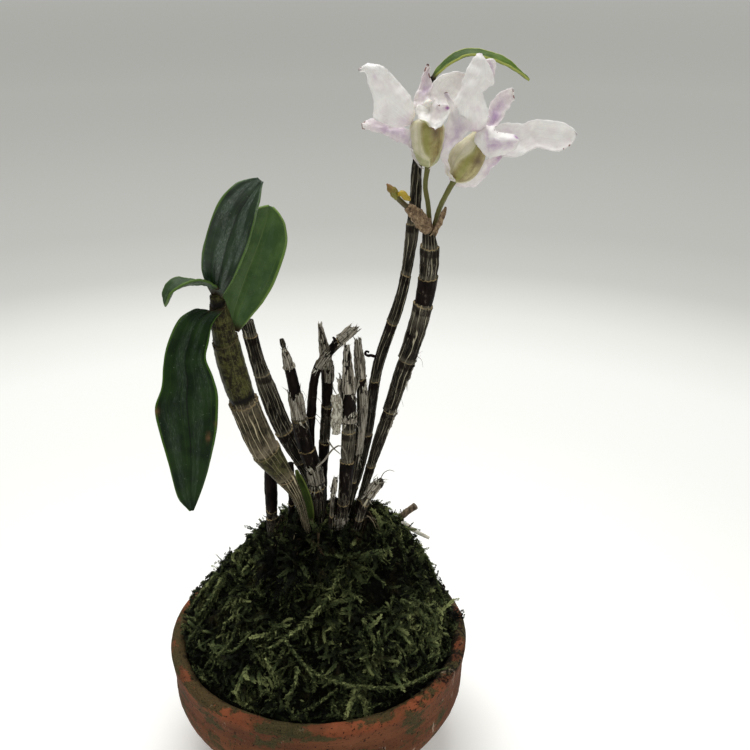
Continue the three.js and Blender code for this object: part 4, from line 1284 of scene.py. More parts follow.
CANES = {
    "cane_leafy": {
        "route": [
            (-1.0, -4, 63.5), (-4.6, -4.5, 80), (-12.3, -5.5, 94.7), (-18, -6, 113.5), (-21.2, -6.5, 134),
        ],
        "girth": [
            (0, 0.9), (0.14, 1.05), (0.24, 1.6), (0.32, 2.5), (0.38, 3.1), (0.44, 3.6), (0.55, 3.5),
            (0.66, 3.3), (0.76, 3.3), (0.86, 2.9), (0.94, 2.2), (1, 1.4),
        ],
        "joints": [(0.31, 0.35), (0.43, 0.8), (0.628, 1.6), (0.85, 1.1), (0.97, 0.8)],
        "skin": [
            (0, 0.8), (0.3, 0.9), (0.315, 0.45), (0.42, 0.45), (0.44, 0.9), (0.628, 1), (0.64, 0.05), (1, 0),
        ],
        "pale": [(0.43, -0.04, 1.0), (0.31, -0.025, 0.6), (0.628, 0.04, 0.5)],
        "ribs": 0.04, "dip": 0.9,
    },
    "cane_striped": {
        "route": [(1.2, 8, 62.5), (-2.2, 8, 79), (-8.6, 8, 93), (-13.6, 8, 109), (-16.4, 8, 121.8)],
        "girth": [
            (0, 1.3), (0.2, 1.7), (0.4, 2.3), (0.52, 2.45), (0.7, 2.3), (0.75, 2.1), (0.8, 1.8), (1, 1.75),
        ],
        "joints": [(0.19, 0.6), (0.352, 0.8), (0.504, 1.0), (0.769, -0.4), (0.944, 0.6)],
        "skin": [(0, 0.6), (0.3, 0.7), (0.5, 0.95), (0.8, 1), (1, 0.8)],
        "pale": [(0.769, 0.055, 1.0), (0.504, 0.02, 0.5)],
        "ribs": 0.1,
    },
    "cane_tapered": {
        "route": [(0.9, 1, 64.5), (-0.2, 1, 83), (-2.8, 1, 93.5), (-5.1, 1, 110), (-7.3, 1, 120)],
        "girth": [
            (0, 2.1), (0.15, 2.0), (0.3, 1.9), (0.46, 2.1), (0.62, 1.85), (0.75, 1.5), (0.87, 1.2),
            (0.93, 0.75), (0.955, 0.5), (0.975, 0.68), (1, 0.5),
        ],
        "joints": [(0.254, 1.2), (0.46, 1.2), (0.612, 1.4), (0.872, 1.0), (0.944, 0.8)],
        "skin": [(0, 0.3), (0.2, 0.5), (0.45, 0.3), (0.6, 0.4), (0.63, 0.8), (0.8, 0.2), (1, 0.5)],
        "ribs": 0.07,
    },
    "cane_bent": {
        "route": [(-2, 5, 63), (-1.2, 4.6, 82), (-0.9, 4.2, 97), (1, 3.4, 111), (5, 2.8, 117), (9.8, 2, 122)],
        "girth": [(0, 1.0), (0.5, 0.95), (0.56, 1.15), (0.75, 1.05), (0.9, 1.15), (1, 1.0)],
        "joints": [(0.562, -0.8), (0.8, 0.8), (0.93, 0.8)],
        "skin": [(0, 0.4), (0.55, 0.3), (0.6, 0.05), (0.78, 0.1), (0.8, 0.9), (0.92, 0.3), (1, 0.9)],
        "ribs": 0.05,
    },
    "cane_papery": {
        "route": [(1.4, 4.9, 63.5), (1.8, 5, 83), (3, 5.6, 100), (3.2, 6.4, 110), (1.8, 7, 121)],
        "girth": [(0, 1.0), (0.3, 1.1), (0.46, 1.35), (0.65, 1.3), (0.8, 1.5), (0.92, 1.1), (1, 0.45)],
        "joints": [(0.458, 1.2), (0.636, 1.0), (0.834, 0.6)],
        "skin": [
            (0, 0.2), (0.45, 0.25), (0.47, 0.6), (0.63, 0.5), (0.66, 0.1), (0.8, 0.3), (0.84, 1), (1, 1),
        ],
        "ribs": 0.05,
    },
    "cane_frayed": {
        "route": [(5.8, -2.5, 64.5), (7.9, -2.5, 84), (8.8, -2, 101), (8.5, -2, 119.5)],
        "girth": [(0, 1.2), (0.2, 1.5), (0.44, 1.75), (0.6, 1.7), (0.78, 1.5), (0.9, 1.2), (1, 0.6)],
        "joints": [(0.134, 0.8), (0.224, 0.6), (0.438, 1.4), (0.587, 0.8)],
        "skin": [
            (0, 0.9), (0.12, 0.9), (0.2, 0.5), (0.43, 0.35), (0.45, 1), (0.66, 0.9), (0.69, 0), (0.77, 0),
            (0.8, 1),
        ],
        "pale": [(0.6, 0.14, 0.45), (0.134, 0.1, 0.5)],
        "ribs": 0.07,
    },
    "cane_rear": {
        "route": [(6.9, 2, 64.5), (9.5, 1.6, 81), (11.9, 2, 101), (11.1, 2, 119)],
        "girth": [(0, 1.0), (0.4, 1.1), (0.75, 1.2), (0.9, 1.15), (1, 0.7)],
        "joints": [(0.3, 0.8), (0.5, 0.8), (0.83, 1.0)],
        "skin": [(0, 0.6), (0.5, 0.8), (1, 0.9)],
        "ribs": 0.06,
    },
    "cane_slender": {
        "route": [
            (6, 6.4, 63), (12.6, 5.2, 89), (16, 5.8, 111), (22, 6.8, 131), (24.6, 7.7, 152), (24.9, 8.2, 161),
            (28.2, 8.8, 180),
        ],
        "girth": [
            (0, 1.1), (0.25, 1.4), (0.38, 1.35), (0.51, 1.45), (0.62, 1.3), (0.7, 1.55), (0.8, 1.3),
            (0.88, 0.9), (1, 0.65),
        ],
        "joints": [
            (0.12, 0.6), (0.253, 0.8), (0.38, 0.5), (0.512, -0.6), (0.615, 0.7), (0.721, 0.8), (0.86, 0.6),
        ],
        "skin": [(0, 0.7), (0.3, 0.75), (0.5, 0.6), (0.8, 0.7), (1, 0.3)],
        "pale": [(0.721, 0.04, 0.5)],
        "ribs": 0.06,
    },
    "cane_flowering": {
        "route": [
            (9.1, 3, 64.5), (14.3, 2.4, 85), (20.5, 2.1, 106), (26.3, 1.6, 127), (27.8, 1, 138),
            (27.5, 0.6, 148),
        ],
        "girth": [
            (0, 1.0), (0.1, 1.0), (0.24, 1.15), (0.33, 1.5), (0.43, 1.6), (0.52, 1.9), (0.6, 2.05),
            (0.7, 2.3), (0.82, 2.25), (0.93, 2.2), (0.97, 1.6), (1, 1.3),
        ],
        "joints": [
            (0.12, 0.5), (0.243, 0.8), (0.431, -1.2), (0.6, -1.6), (0.776, 1.2), (0.859, 0.8), (0.946, 1.2),
        ],
        "skin": [
            (0, 0.6), (0.24, 0.7), (0.42, 0.55), (0.6, 0.6), (0.72, 0.65), (0.74, 1), (0.772, 1),
            (0.782, 0.3), (0.852, 0.3), (0.862, 0.9), (0.94, 0.9), (0.952, 0.7), (1, 0.8),
        ],
        "pale": [(0.776, 0.045, 0.8), (0.6, 0.02, 0.4), (0.946, 0.03, 0.3)],
        "ribs": 0.08,
    },
    "cane_old_left": {
        "route": [(-12, 4, 56), (-11.9, 4, 72), (-11.8, 4, 85.5)],
        "girth": [(0, 1.5), (0.42, 1.5), (0.7, 1.7), (1, 1.3)],
        "joints": [(0.417, 1.0), (0.5, 0.5)],
        "skin": [(0, 0.4), (0.4, 0.5), (0.6, 0.1), (1, 0.2)],
        "ribs": 0.05,
    },
    "cane_old_thin": {
        "route": [(-7.2, 5.6, 60), (-6.6, 5, 76), (-6.5, 4.6, 84)],
        "girth": [(0, 0.9), (0.6, 0.85), (1, 0.8)],
        "joints": [(0.5, 0.5)],
        "skin": [(0, 0.3), (1, 0.2)],
        "ribs": 0.03,
    },
    "stub_right": {
        "route": [(9, -3, 64), (13.4, -4, 79), (16.8, -4.5, 84.5)],
        "girth": [(0, 1.1), (0.6, 1.05), (0.84, 1.2), (0.95, 0.9), (1, 0.6)],
        "joints": [(0.4, 0.6), (0.62, 0.8), (0.84, 0.8)],
        "skin": [(0, 0.5), (0.6, 0.9), (1, 1)],
        "ribs": 0.06,
    },
    "stub_front": {
        "route": [(3.3, -5, 64), (4.7, -4.6, 80), (5.4, -4.5, 85)],
        "girth": [(0, 0.6), (0.8, 0.62), (1, 0.3)],
        "joints": [(0.5, 0.5)],
        "skin": [(0, 0.8), (1, 0.9)],
        "ribs": 0.04,
    },
}
CANE_STEP = 0.36
RIB_SPACING = 0.9


def cane_radius(spec, path, along, turn):
    """Radius of a cane, with its joints and ribs, and how far above its nearest joint each place lies.

    A joint of positive strength is a cup that holds the part above, a negative one a skirt over the
    part below.
    """
    radius = read_value(spec["girth"], along)
    ribs = max(5, round(2 * math.pi * np.mean(radius) / RIB_SPACING))
    wander = 0.5 * np.sin(2 * math.pi * turn + 9 * along)
    rib = np.abs(np.cos(math.pi * ribs * turn + wander * np.cos(math.pi * turn)))
    nearest = np.full_like(radius * turn, 9.0)
    for place, strength in spec["joints"]:
        angle = 2 * math.pi * turn
        tilt = spec.get("dip", 0.35) * np.cos(angle) + 0.3 * np.sin(angle + 40 * place)
        above = (along - place) * path.length + tilt
        cup = np.where(above < 0, 0.07 * np.exp(above / 1.5), -0.10 * np.exp(-above / 1.6))
        radius = radius * (1 + cup * strength)
        radius = radius + 0.045 * abs(strength) ** 0.5 * bell(above + 0.1, 0.2)
        nearest = np.where(np.abs(above) < np.abs(nearest), above, nearest)
    spots = round_spots(turn, along, 2, path.length)
    relief = spec["ribs"] * (rib ** 3 - 0.5) + 0.06 * ripple(spots, 2.6, int(1000 * spec["girth"][0][1]))
    return radius + relief, nearest


def leafy_cane_marks_and_shadow(path, along, turn):
    """Dark marks: darker at the tip, a painted shadow band just above the paper's rim, and a blotch and a
    thin ring at the upper joint.
    """
    # The band just above the paper's rim is a painted shadow, where the cane goes into the paper
    stains = bell(along - 0.972, 0.018) + bell((along - 0.643) * path.length, 1.0) + 0 * turn
    stains += 0.6 * bell(along - 0.84, 0.014) * bell(turn + 0.08, 0.07)
    stains += 0.6 * bell((along - 0.856) * path.length + 0.5 * turn, 0.35)
    return stains


def cane(name, finish, slot):
    spec = CANES[name]
    path = Path(spec["route"])
    rows = int(path.length / CANE_STEP)
    widest = max(row[1] for row in spec["girth"])
    columns = 2 * max(12, round(1.2 * math.pi * widest / CANE_STEP))
    along = along_grid(rows)
    turn = around_grid(columns)
    radius, nearest = cane_radius(spec, path, along, turn)
    marks = {"above": nearest, "skin": read_value(spec["skin"], along) + 0 * turn, "pale": 0 * radius}
    for place, length, strength in spec.get("pale", ()):
        below = (place - along) * np.sign(length)
        marks["pale"] += strength * np.clip(below / 0.003 + 0.5, 0, 1) * bell(below, length)
    if name == "cane_leafy":
        marks["dark"] = leafy_cane_marks_and_shadow(path, along, turn)
    piece = tube(name + "_stem", path, along, radius, marks)
    return finish_piece(piece, finish, slot, name)


# Paper left on the canes: the cane, where it starts and ends along it, how ragged its ends are, how far it
# flares, the middle and width of its opening (0 is the front, 0.25 the right), and how much it narrows
SHEATHS = [
    ("cane_tapered", 0.615, 0.76, 2.4, 0.25, (0.5, 0.1), 0),
    ("cane_tapered", 0.86, 0.955, 1.2, 0.0, (0.6, 0.2), 0.2),
    ("cane_tapered", 0.28, 0.385, 2.5, 0.1, (0.55, 0.62), 0),
    ("cane_bent", 0.78, 0.87, 1.5, 0.2, (0.7, 0.35), 0),
    ("cane_bent", 0.93, 1.03, 1.6, 0.1, (0.6, 0.2), 0),
    ("cane_papery", 0.82, 1.02, 1.6, 0.0, (0.5, 0.1), 0.35),
    ("cane_papery", 0.74, 0.84, 3.0, 0.4, (0.75, 0.4), 0),
    ("cane_frayed", 0.63, 0.69, 1.8, 0.5, (0.6, 0.4), 0),
    ("cane_frayed", 0.775, 1.01, 1.8, 0.1, (0.5, 0.1), 0.3),
    ("cane_frayed", 0.62, 0.87, 2.4, 1.7, (0.08, 0.5), 0),
    ("cane_frayed", 0.03, 0.15, 1.0, 0.3, (0.5, 0.2), 0),
    ("cane_rear", 0.44, 0.8, 2.6, 0.3, (0.75, 0.4), 0),
    ("cane_rear", 0.82, 1.02, 1.6, 0.1, (0.5, 0.1), 0.15),
    ("cane_flowering", 0.54, 0.615, 2.2, 0.3, (0.75, 0.75), 0),
    ("cane_flowering", 0.38, 0.44, 1.8, 0.3, (0.7, 0.78), 0),
    ("stub_right", 0.72, 1.0, 1.8, 0.3, (0.5, 0.2), 0),
    ("stub_front", 0.8, 1.0, 1.0, 0.1, (0.5, 0.2), 0),
]
SHEATH_THICKNESS = 0.12
SHEATH_LIFT = 0.12
SHREDS_EACH = 22


def torn_edge(turn, amount, seed):
    """A ragged profile around a sheath, in mm below its highest shreds."""
    spots = np.stack([np.cos(2 * math.pi * turn), np.sin(2 * math.pi * turn)], -1)
    teeth = ripple(spots, 0.9, seed) + 0.8 * np.abs(ripple(spots, 0.25, seed + 1))
    return -amount * (0.5 + 0.5 * np.clip(teeth, -1, 1))


def sheath(index, spec, finish):
    """Torn paper round a cane, open along its gap, that flares or narrows towards its top."""
    name, start, end, ragged, flare, (middle, width), narrow = spec
    path = Path(CANES[name]["route"])
    rows, columns = SHEATH_GRID
    turn = np.linspace(middle + width / 2, middle + 1 - width / 2, columns + 1)[None]
    share = along_grid(rows)
    low = start + torn_edge(turn, -0.25 * ragged, 60 + index) / path.length
    high = end + torn_edge(turn, ragged, 80 + index) / path.length
    along = low + (high - low) * share
    radius = cane_radius(CANES[name], path, np.clip(along, 0, 1), turn)[0]
    spots = round_spots(turn, along, 2, path.length)
    lift = SHEATH_LIFT + 0.14 * ripple(spots, 1.8, 90 + index) + 0.07 * ripple(spots * (3, 3, 0.4), 2, 92)
    lift = lift + flare * share ** 3 * (0.5 + 0.5 * ripple(spots, 1.2, 95 + index))
    loose_edge = 1 - np.minimum(1, 12 * np.minimum(turn - turn.min(), turn.max() - turn))
    radius = radius * (1 - narrow * share ** 1.5) + lift + 0.25 * loose_edge
    points = around_path(path, along, radius, turn + 0 * along)
    piece = grid_piece(f"sheath_{index}", points)
    scale_map(piece, 2 * math.pi * radius.mean(), (end - start) * path.length)
    thicken(piece, SHEATH_THICKNESS)
    return finish_piece(piece, finish, "papery_skin")


def shred_strips(spec, draw):
    """Narrow torn strips on a sheath's top and lower edges, as loose four-cornered faces."""
    name, start, end, ragged, _, (middle, width), narrow = spec
    path = Path(CANES[name]["route"])
    count = SHREDS_EACH
    turn = middle + width / 2 + draw.uniform(0, 1 - width, count)
    upwards = np.where(draw.uniform(0, 1, count) < 0.7, 1.0, -1.0)
    edge = np.where(upwards > 0, end - 0.6 * ragged / path.length, start)
    along = np.clip(edge + draw.normal(0, 0.3, count) / path.length, 0, 1)
    radius = read_value(CANES[name]["girth"], along) * (1 - 0.8 * narrow * (upwards > 0)) + 0.15
    root = around_path(path, along, radius, turn)
    outwards = unit(root - path.at(along))
    heading = path.heading(along) * upwards[:, None]
    beside = np.cross(heading, outwards)
    length = ragged * draw.uniform(0.3, 1.1, count)
    curl, sway = draw.uniform(0.0, 0.6, count), draw.normal(0, 0.35, count)
    half = draw.uniform(0.05, 0.22, count)
    share = np.linspace(0, 1, 6)[:, None, None]
    middle_line = root + length[:, None] * (
        share * heading + curl[:, None] * share ** 2 * outwards + sway[:, None] * share ** 2 * beside
    )
    reach = (half[:, None] * (1 - share) ** 0.6 + 0.02) * beside
    left, right = middle_line - reach, middle_line + reach
    faces = np.stack([left[:-1], right[:-1], right[1:], left[1:]], axis=2)
    return faces.reshape(-1, 3)


def shreds(finish):
    """All the torn strips in one piece."""
    draw = np.random.default_rng(71)
    piece = mesh_piece("paper_shreds", np.concatenate([shred_strips(spec, draw) for spec in SHEATHS]))
    return finish_piece(piece, finish, "papery_skin")


# Loose fibres: (route, radius)
FIBRES = [
    ([(0.5, -1, 86), (2.5, -2, 88.5), (4.8, -2.6, 92), (6.8, -3.4, 93.4), (8, -4, 91.5)], 0.34),
    ([(3.4, -3, 95), (4.8, -3, 92.6), (6.6, -3.4, 91.0)], 0.26),
    ([(-3, -1.2, 103), (-1.8, -1.8, 105), (-1.2, -2.2, 107)], 0.07),
    ([(-3.2, -1.2, 101), (-1.6, -2, 102.6), (-0.8, -2.4, 105.4)], 0.06),
    ([(-4.2, -1.4, 106), (-2.4, -2, 107.6), (-1.6, -2.4, 106.4)], 0.06),
    ([(0.2, 3, 98), (1.6, 2.4, 96), (2, 2, 93.4)], 0.07),
    ([(0.4, 3, 99), (2, 2.2, 98), (3.2, 2, 99.4)], 0.07),
    ([(2.2, 4, 101), (0.8, 3, 103.4), (-0.4, 2.6, 103.8)], 0.06),
    ([(16.4, -4.6, 84), (17.4, -5, 86.6), (18.8, -5, 87.4), (20, -4.6, 86.8)], 0.14),
    ([(15.4, -5, 83), (14.8, -5.6, 85.2), (15.8, -6, 86.8)], 0.09),
    ([(12.6, -5, 76), (14.6, -6, 79), (16.4, -6, 79.6)], 0.09),
    ([(11.4, -5, 73), (13.8, -6.2, 74.6), (15.6, -6, 73.6)], 0.09),
    ([(20.2, 1, 106), (21.6, 0.4, 104.4), (22.2, 0, 102.4)], 0.06),
    ([(24.8, 0.6, 116), (26.4, 0, 115), (26.8, 0, 113)], 0.06),
    ([(-7, -2, 117.5), (-6, -2.4, 116), (-5.8, -2.6, 114)], 0.05),
]


def fibre(index, finish):
    route, radius = FIBRES[index]
    along = along_grid(FIBRE_GRID[0])
    girth = radius * (1 - 0.6 * along) + 0 * around_grid(FIBRE_GRID[1])
    piece = tube(f"fibre_{index}", Path(route), along, girth)
    return finish_piece(piece, finish, "papery_skin")


# Short, dark, curled ends of old roots and flower stalks
TWIGLETS = [
    [
        (15.6, 5.4, 113.4), (14.2, 4.8, 114.1), (13.4, 4.4, 114.2), (12.8, 4.4, 114.8), (13.1, 4.6, 115.3),
        (13.7, 4.7, 115),
    ],
    [(5.2, 2.4, 118.6), (5.5, 1.4, 119.6), (5.2, 1.0, 120.4)],
    [(24.3, 0.2, 120.4), (23.3, -0.2, 121.2), (23.0, -0.4, 122.4)],
]


def twiglet(index, route, finish):
    along = along_grid(TWIGLET_GRID[0])
    turn = around_grid(TWIGLET_GRID[1])
    girth = 0.42 - 0.12 * along + 0.06 * ripple(round_spots(turn, along, 1, 4), 1.2, 75 + index)
    marks = {"skin": 0.35 + 0 * girth, "above": 9 + 0 * girth}
    piece = tube(f"twiglet_{index}", Path(route), along, girth, marks)
    return finish_piece(piece, finish, "dark_cane")


# Leaves. Edges rows are [place, left half-width, right half-width]

LEAVES = {
    "leaf_upright": {
        "route": [
            (-20.9, -6.6, 133.6), (-19.6, -8, 140), (-17.2, -8.5, 147.5), (-14.1, -8, 154.5),
            (-9.6, -5, 159.8),
        ],
        "edges": [
            (0, 1.3, 1.3), (0.1, 2.9, 2.6), (0.25, 4.4, 4.1), (0.5, 5.1, 5), (0.7, 4.9, 4.3),
            (0.85, 4.2, 2.8), (0.95, 2.7, 1.1), (1, 1.2, 0.3),
        ],
        "facing": [(-0.3, -1, 0.2), (0.1, -1, 0.5)],
        "curl": 0.45, "wave": (0.25, 2.2),
    },
    "leaf_broad": {
        "route": [
            (-18.6, -4.4, 124.5), (-17.1, -2.5, 130.5), (-14.4, -1, 137.5), (-11.6, 0, 144), (-8.6, 2, 152.3),
        ],
        "edges": [
            (0, 1.8, 2), (0.12, 3.9, 4), (0.3, 5.8, 6.1), (0.5, 6.4, 7), (0.75, 5.9, 6.6), (0.9, 4.2, 4.7),
            (0.97, 2.2, 2.4), (1, 0.5, 0.5),
        ],
        "facing": [(0.1, -1, 0.4), (0.1, -1, 0.5)],
        "curl": 0.5, "wave": (0.3, 1.7),
    },
    "leaf_small": {
        "route": [
            (-20.6, -6.8, 135.6), (-24, -8.5, 137.4), (-27.2, -10, 137.7), (-30, -11, 136.7),
            (-31.7, -12, 133.3),
        ],
        "edges": [
            (0, 1.1, 1.1), (0.3, 2.8, 2.8), (0.6, 3.9, 3.9), (0.85, 3.3, 3.3), (0.96, 1.6, 1.6),
            (1, 0.5, 0.5),
        ],
        "facing": [(0, 0.3, 1), (-0.8, -0.3, 0.6)],
        "curl": 0.5, "wave": (0.15, 1.5),
    },
    "leaf_hanging": {
        "left": [
            (-22.6, -8.8, 130.7), (-25.4, -9.4, 131.5), (-28.2, -11, 130.6), (-31.3, -12, 125.7),
            (-33.1, -12.6, 119.8), (-33.8, -13, 114.3), (-35.8, -13.4, 108.1), (-35, -13.6, 101),
            (-33.7, -13.6, 92.9), (-32.3, -13.2, 84.4), (-29.9, -12.8, 80.6),
        ],
        "right": [
            (-18.9, -8.6, 131.4), (-20.5, -9.2, 129.9), (-21.8, -10, 128), (-22.7, -11.2, 124.4),
            (-23.4, -12, 120.8), (-22, -12.8, 116.4), (-21.1, -13.2, 111.2), (-21.6, -13.4, 104.8),
            (-23.3, -13.4, 96.9), (-26, -13, 88.1), (-28.9, -12.6, 80.5),
        ],
        "wave": (0.35, 2.6),
        "blemishes": [
            (0.74, 0.72, 0.012, 0.08, 0.8), (0.6, -1.0, 0.012, 0.1, 1.0), (0.7, 0.98, 0.01, 0.05, 0.7),
        ],
    },
    "leaf_top": {
        "route": [
            (28.0, 8.6, 179.6), (30, 8.8, 181.8), (33.2, 8.5, 184.1), (36.8, 8, 185.1), (43.8, 7, 183.3),
            (49.4, 7, 179.6),
        ],
        "edges": [
            (0, 0.8, 0.8), (0.25, 2.2, 2.1), (0.6, 2.3, 2.2), (0.85, 1.4, 1.4), (0.96, 0.8, 0.8),
            (1, 0.35, 0.35),
        ],
        "facing": [(-0.3, -0.2, 1), (0.4, -0.2, 1)],
        "curl": 0.4, "wave": (0.1, 2.0),
    },
    "new_shoot": {
        "route": [(-1.2, -1.6, 66), (-2.0, -1.6, 76), (-4.6, -1.4, 85.4)],
        "edges": [(0, 0.6, 0.6), (0.5, 1.5, 1.3), (0.8, 1.1, 1.0), (1, 0.25, 0.25)],
        "facing": [(0.1, -1, 0.3), (0.1, -1, 0.3)],
        "curl": 0.8, "wave": (0.0, 1.0),
    },
}
LEAF_THICKNESS = 0.5


def leaf(name, finish):
    spec = LEAVES[name]
    wave, waves = spec["wave"]

    def lift(along, across, half):
        groove = -0.30 * bell(across * half, 0.5) * np.minimum(1, half / 3)
        veins = 0.025 * np.sin(across * half * 7.5)
        edge = wave * across ** 2 * np.sin(2 * math.pi * waves * along + 2 * across)
        spots = np.stack([along * 40, across * half], -1)
        return groove + veins + edge + 0.08 * ripple(spots, 5, 51)

    if "left" in spec:
        points, normal, _, along, across = sheet_points(spec, *OUTLINED_LEAF_GRID)
        across = 2 * across - 1
        half = 0.5 * np.linalg.norm(points[:, -1] - points[:, 0], axis=-1)[:, None]
        points = points + normal * (lift(along, across, half) + 0.06 * half * across ** 2)[..., None]
    else:
        points, along, across = blade_points(spec, *LEAF_GRID, lift)
    marks = {"blemish": np.zeros_like(along)}
    for place, side, length, width, strength in spec.get("blemishes", ()):
        marks["blemish"] += strength * bell(along - place, length) * bell(across - side, width)
    return sheet_piece(name + "_blade", points, LEAF_THICKNESS, finish, "leaf", name, marks=marks)


# Material, deep and light green, margin, roughness, gloss, strength of the painted grey sheen, and the midrib
# where it is pale
LEAF_LOOKS = {
    "leaf_upright": ("leaf_glossy", (12, 30, 12), (30, 54, 26), (84, 116, 44), 0.25, 0.4, 0.7),
    "leaf_broad": (
        "leaf_light", (58, 85, 42), (79, 107, 56), (112, 140, 62), 0.42, 0.25, 0.15, (92, 114, 66),
    ),
    "leaf_small": ("leaf_dull", (28, 50, 20), (48, 74, 32), (84, 112, 44), 0.45, 0.25, 0.15),
    "new_shoot": ("leaf_new", (46, 60, 22), (74, 94, 36), (108, 122, 58), 0.5, 0.15),
    "leaf_hanging": ("leaf_deep", (12, 30, 8), (28, 52, 16), (72, 106, 34), 0.42, 0.12, 0.2),
    "leaf_top": ("leaf_strap", (58, 84, 22), (92, 118, 40), (176, 184, 96), 0.4, 0.2, 0.08),
}


# Flower stalks, dry scales and the spent bud

STALKS = {
    "pedicel_left": {
        "route": [(27.8, 0.4, 146.5), (27.3, 1, 152.7), (26.6, 1.9, 157), (27.1, 1.7, 162)],
        "girth": [(0, 0.7), (0.1, 0.62), (0.5, 0.55), (0.9, 0.6), (1, 0.75)],
    },
    "pedicel_right": {
        "route": [(28.4, -0.4, 146.5), (29.6, -1.5, 152.4), (30.8, -2.4, 155.6), (32.9, -2.7, 159.8)],
        "girth": [(0, 0.7), (0.1, 0.62), (0.5, 0.58), (0.9, 0.65), (1, 0.85)],
    },
}
BRACT = {
    "route": [(28.2, -0.8, 146.4), (29.6, -2.6, 149.8), (30.9, -3.2, 153.6)],
    "edges": [(0, 0.9, 0.9), (0.6, 0.85, 0.85), (0.9, 0.6, 0.6), (1, 0.25, 0.25)],
    "facing": [(0.6, -1, 0.2), (0.6, -1, 0.2)],
    "curl": 1.0,
}
BRACT_THICKNESS = 0.2
BUD_SHEATH = {
    "route": [(27.4, -1, 147.5), (25.6, -2.2, 150.2), (24.0, -2.9, 152.2), (22.3, -3.1, 153.6)],
    "girth": [(0, 1.1), (0.25, 1.75), (0.6, 1.6), (0.9, 1.15), (1, 0.8)],
}
BUD_STALK = {
    "route": [(22.8, -3.1, 153.2), (21.2, -3.2, 154.6), (19.9, -3.2, 156.0)],
    "girth": [(0, 0.62), (1, 0.6)],
}
BUD_TIP = {
    "route": [(20.2, -3.2, 155.4), (19.4, -3.2, 156.8), (18.6, -3.2, 157.8), (17.8, -3.2, 158.8)],
    "girth": [(0, 0.5), (0.3, 0.95), (0.65, 0.85), (0.9, 0.35), (1, 0.15)],
}
BUD_BLOB = {
    "route": [(20.4, -3.6, 156.6), (21.2, -4, 156.8), (22.2, -4, 155.9), (23, -3.6, 155.2)],
    "girth": [(0, 0.35), (0.4, 0.75), (0.7, 0.7), (1, 0.2)],
}


def soft_stem(name, spec, finish, slot, *nodes, wrinkle=0.0):
    path = Path(spec["route"])
    along = along_grid(SOFT_STEM_GRID[0])
    turn = around_grid(SOFT_STEM_GRID[1])
    radius = read_value(spec["girth"], along) + 0 * turn
    spots = round_spots(turn, along, 1, path.length) * (1.2, 1.2, 0.7)
    radius = radius * (1 + wrinkle * ripple(spots, 1.2, 71))
    return finish_piece(tube(name, path, along, radius), finish, slot, *nodes)


def bract(finish):
    def lift(along, across, _):
        spots = np.stack([along * 8, across], -1)
        return 0.15 * ripple(spots, 1.6, 61)

    points, _, _ = blade_points(BRACT, *BRACT_GRID, lift)
    return sheet_piece("bract_scale", points, BRACT_THICKNESS, finish, "dried_scale", "bract")


# The two flowers

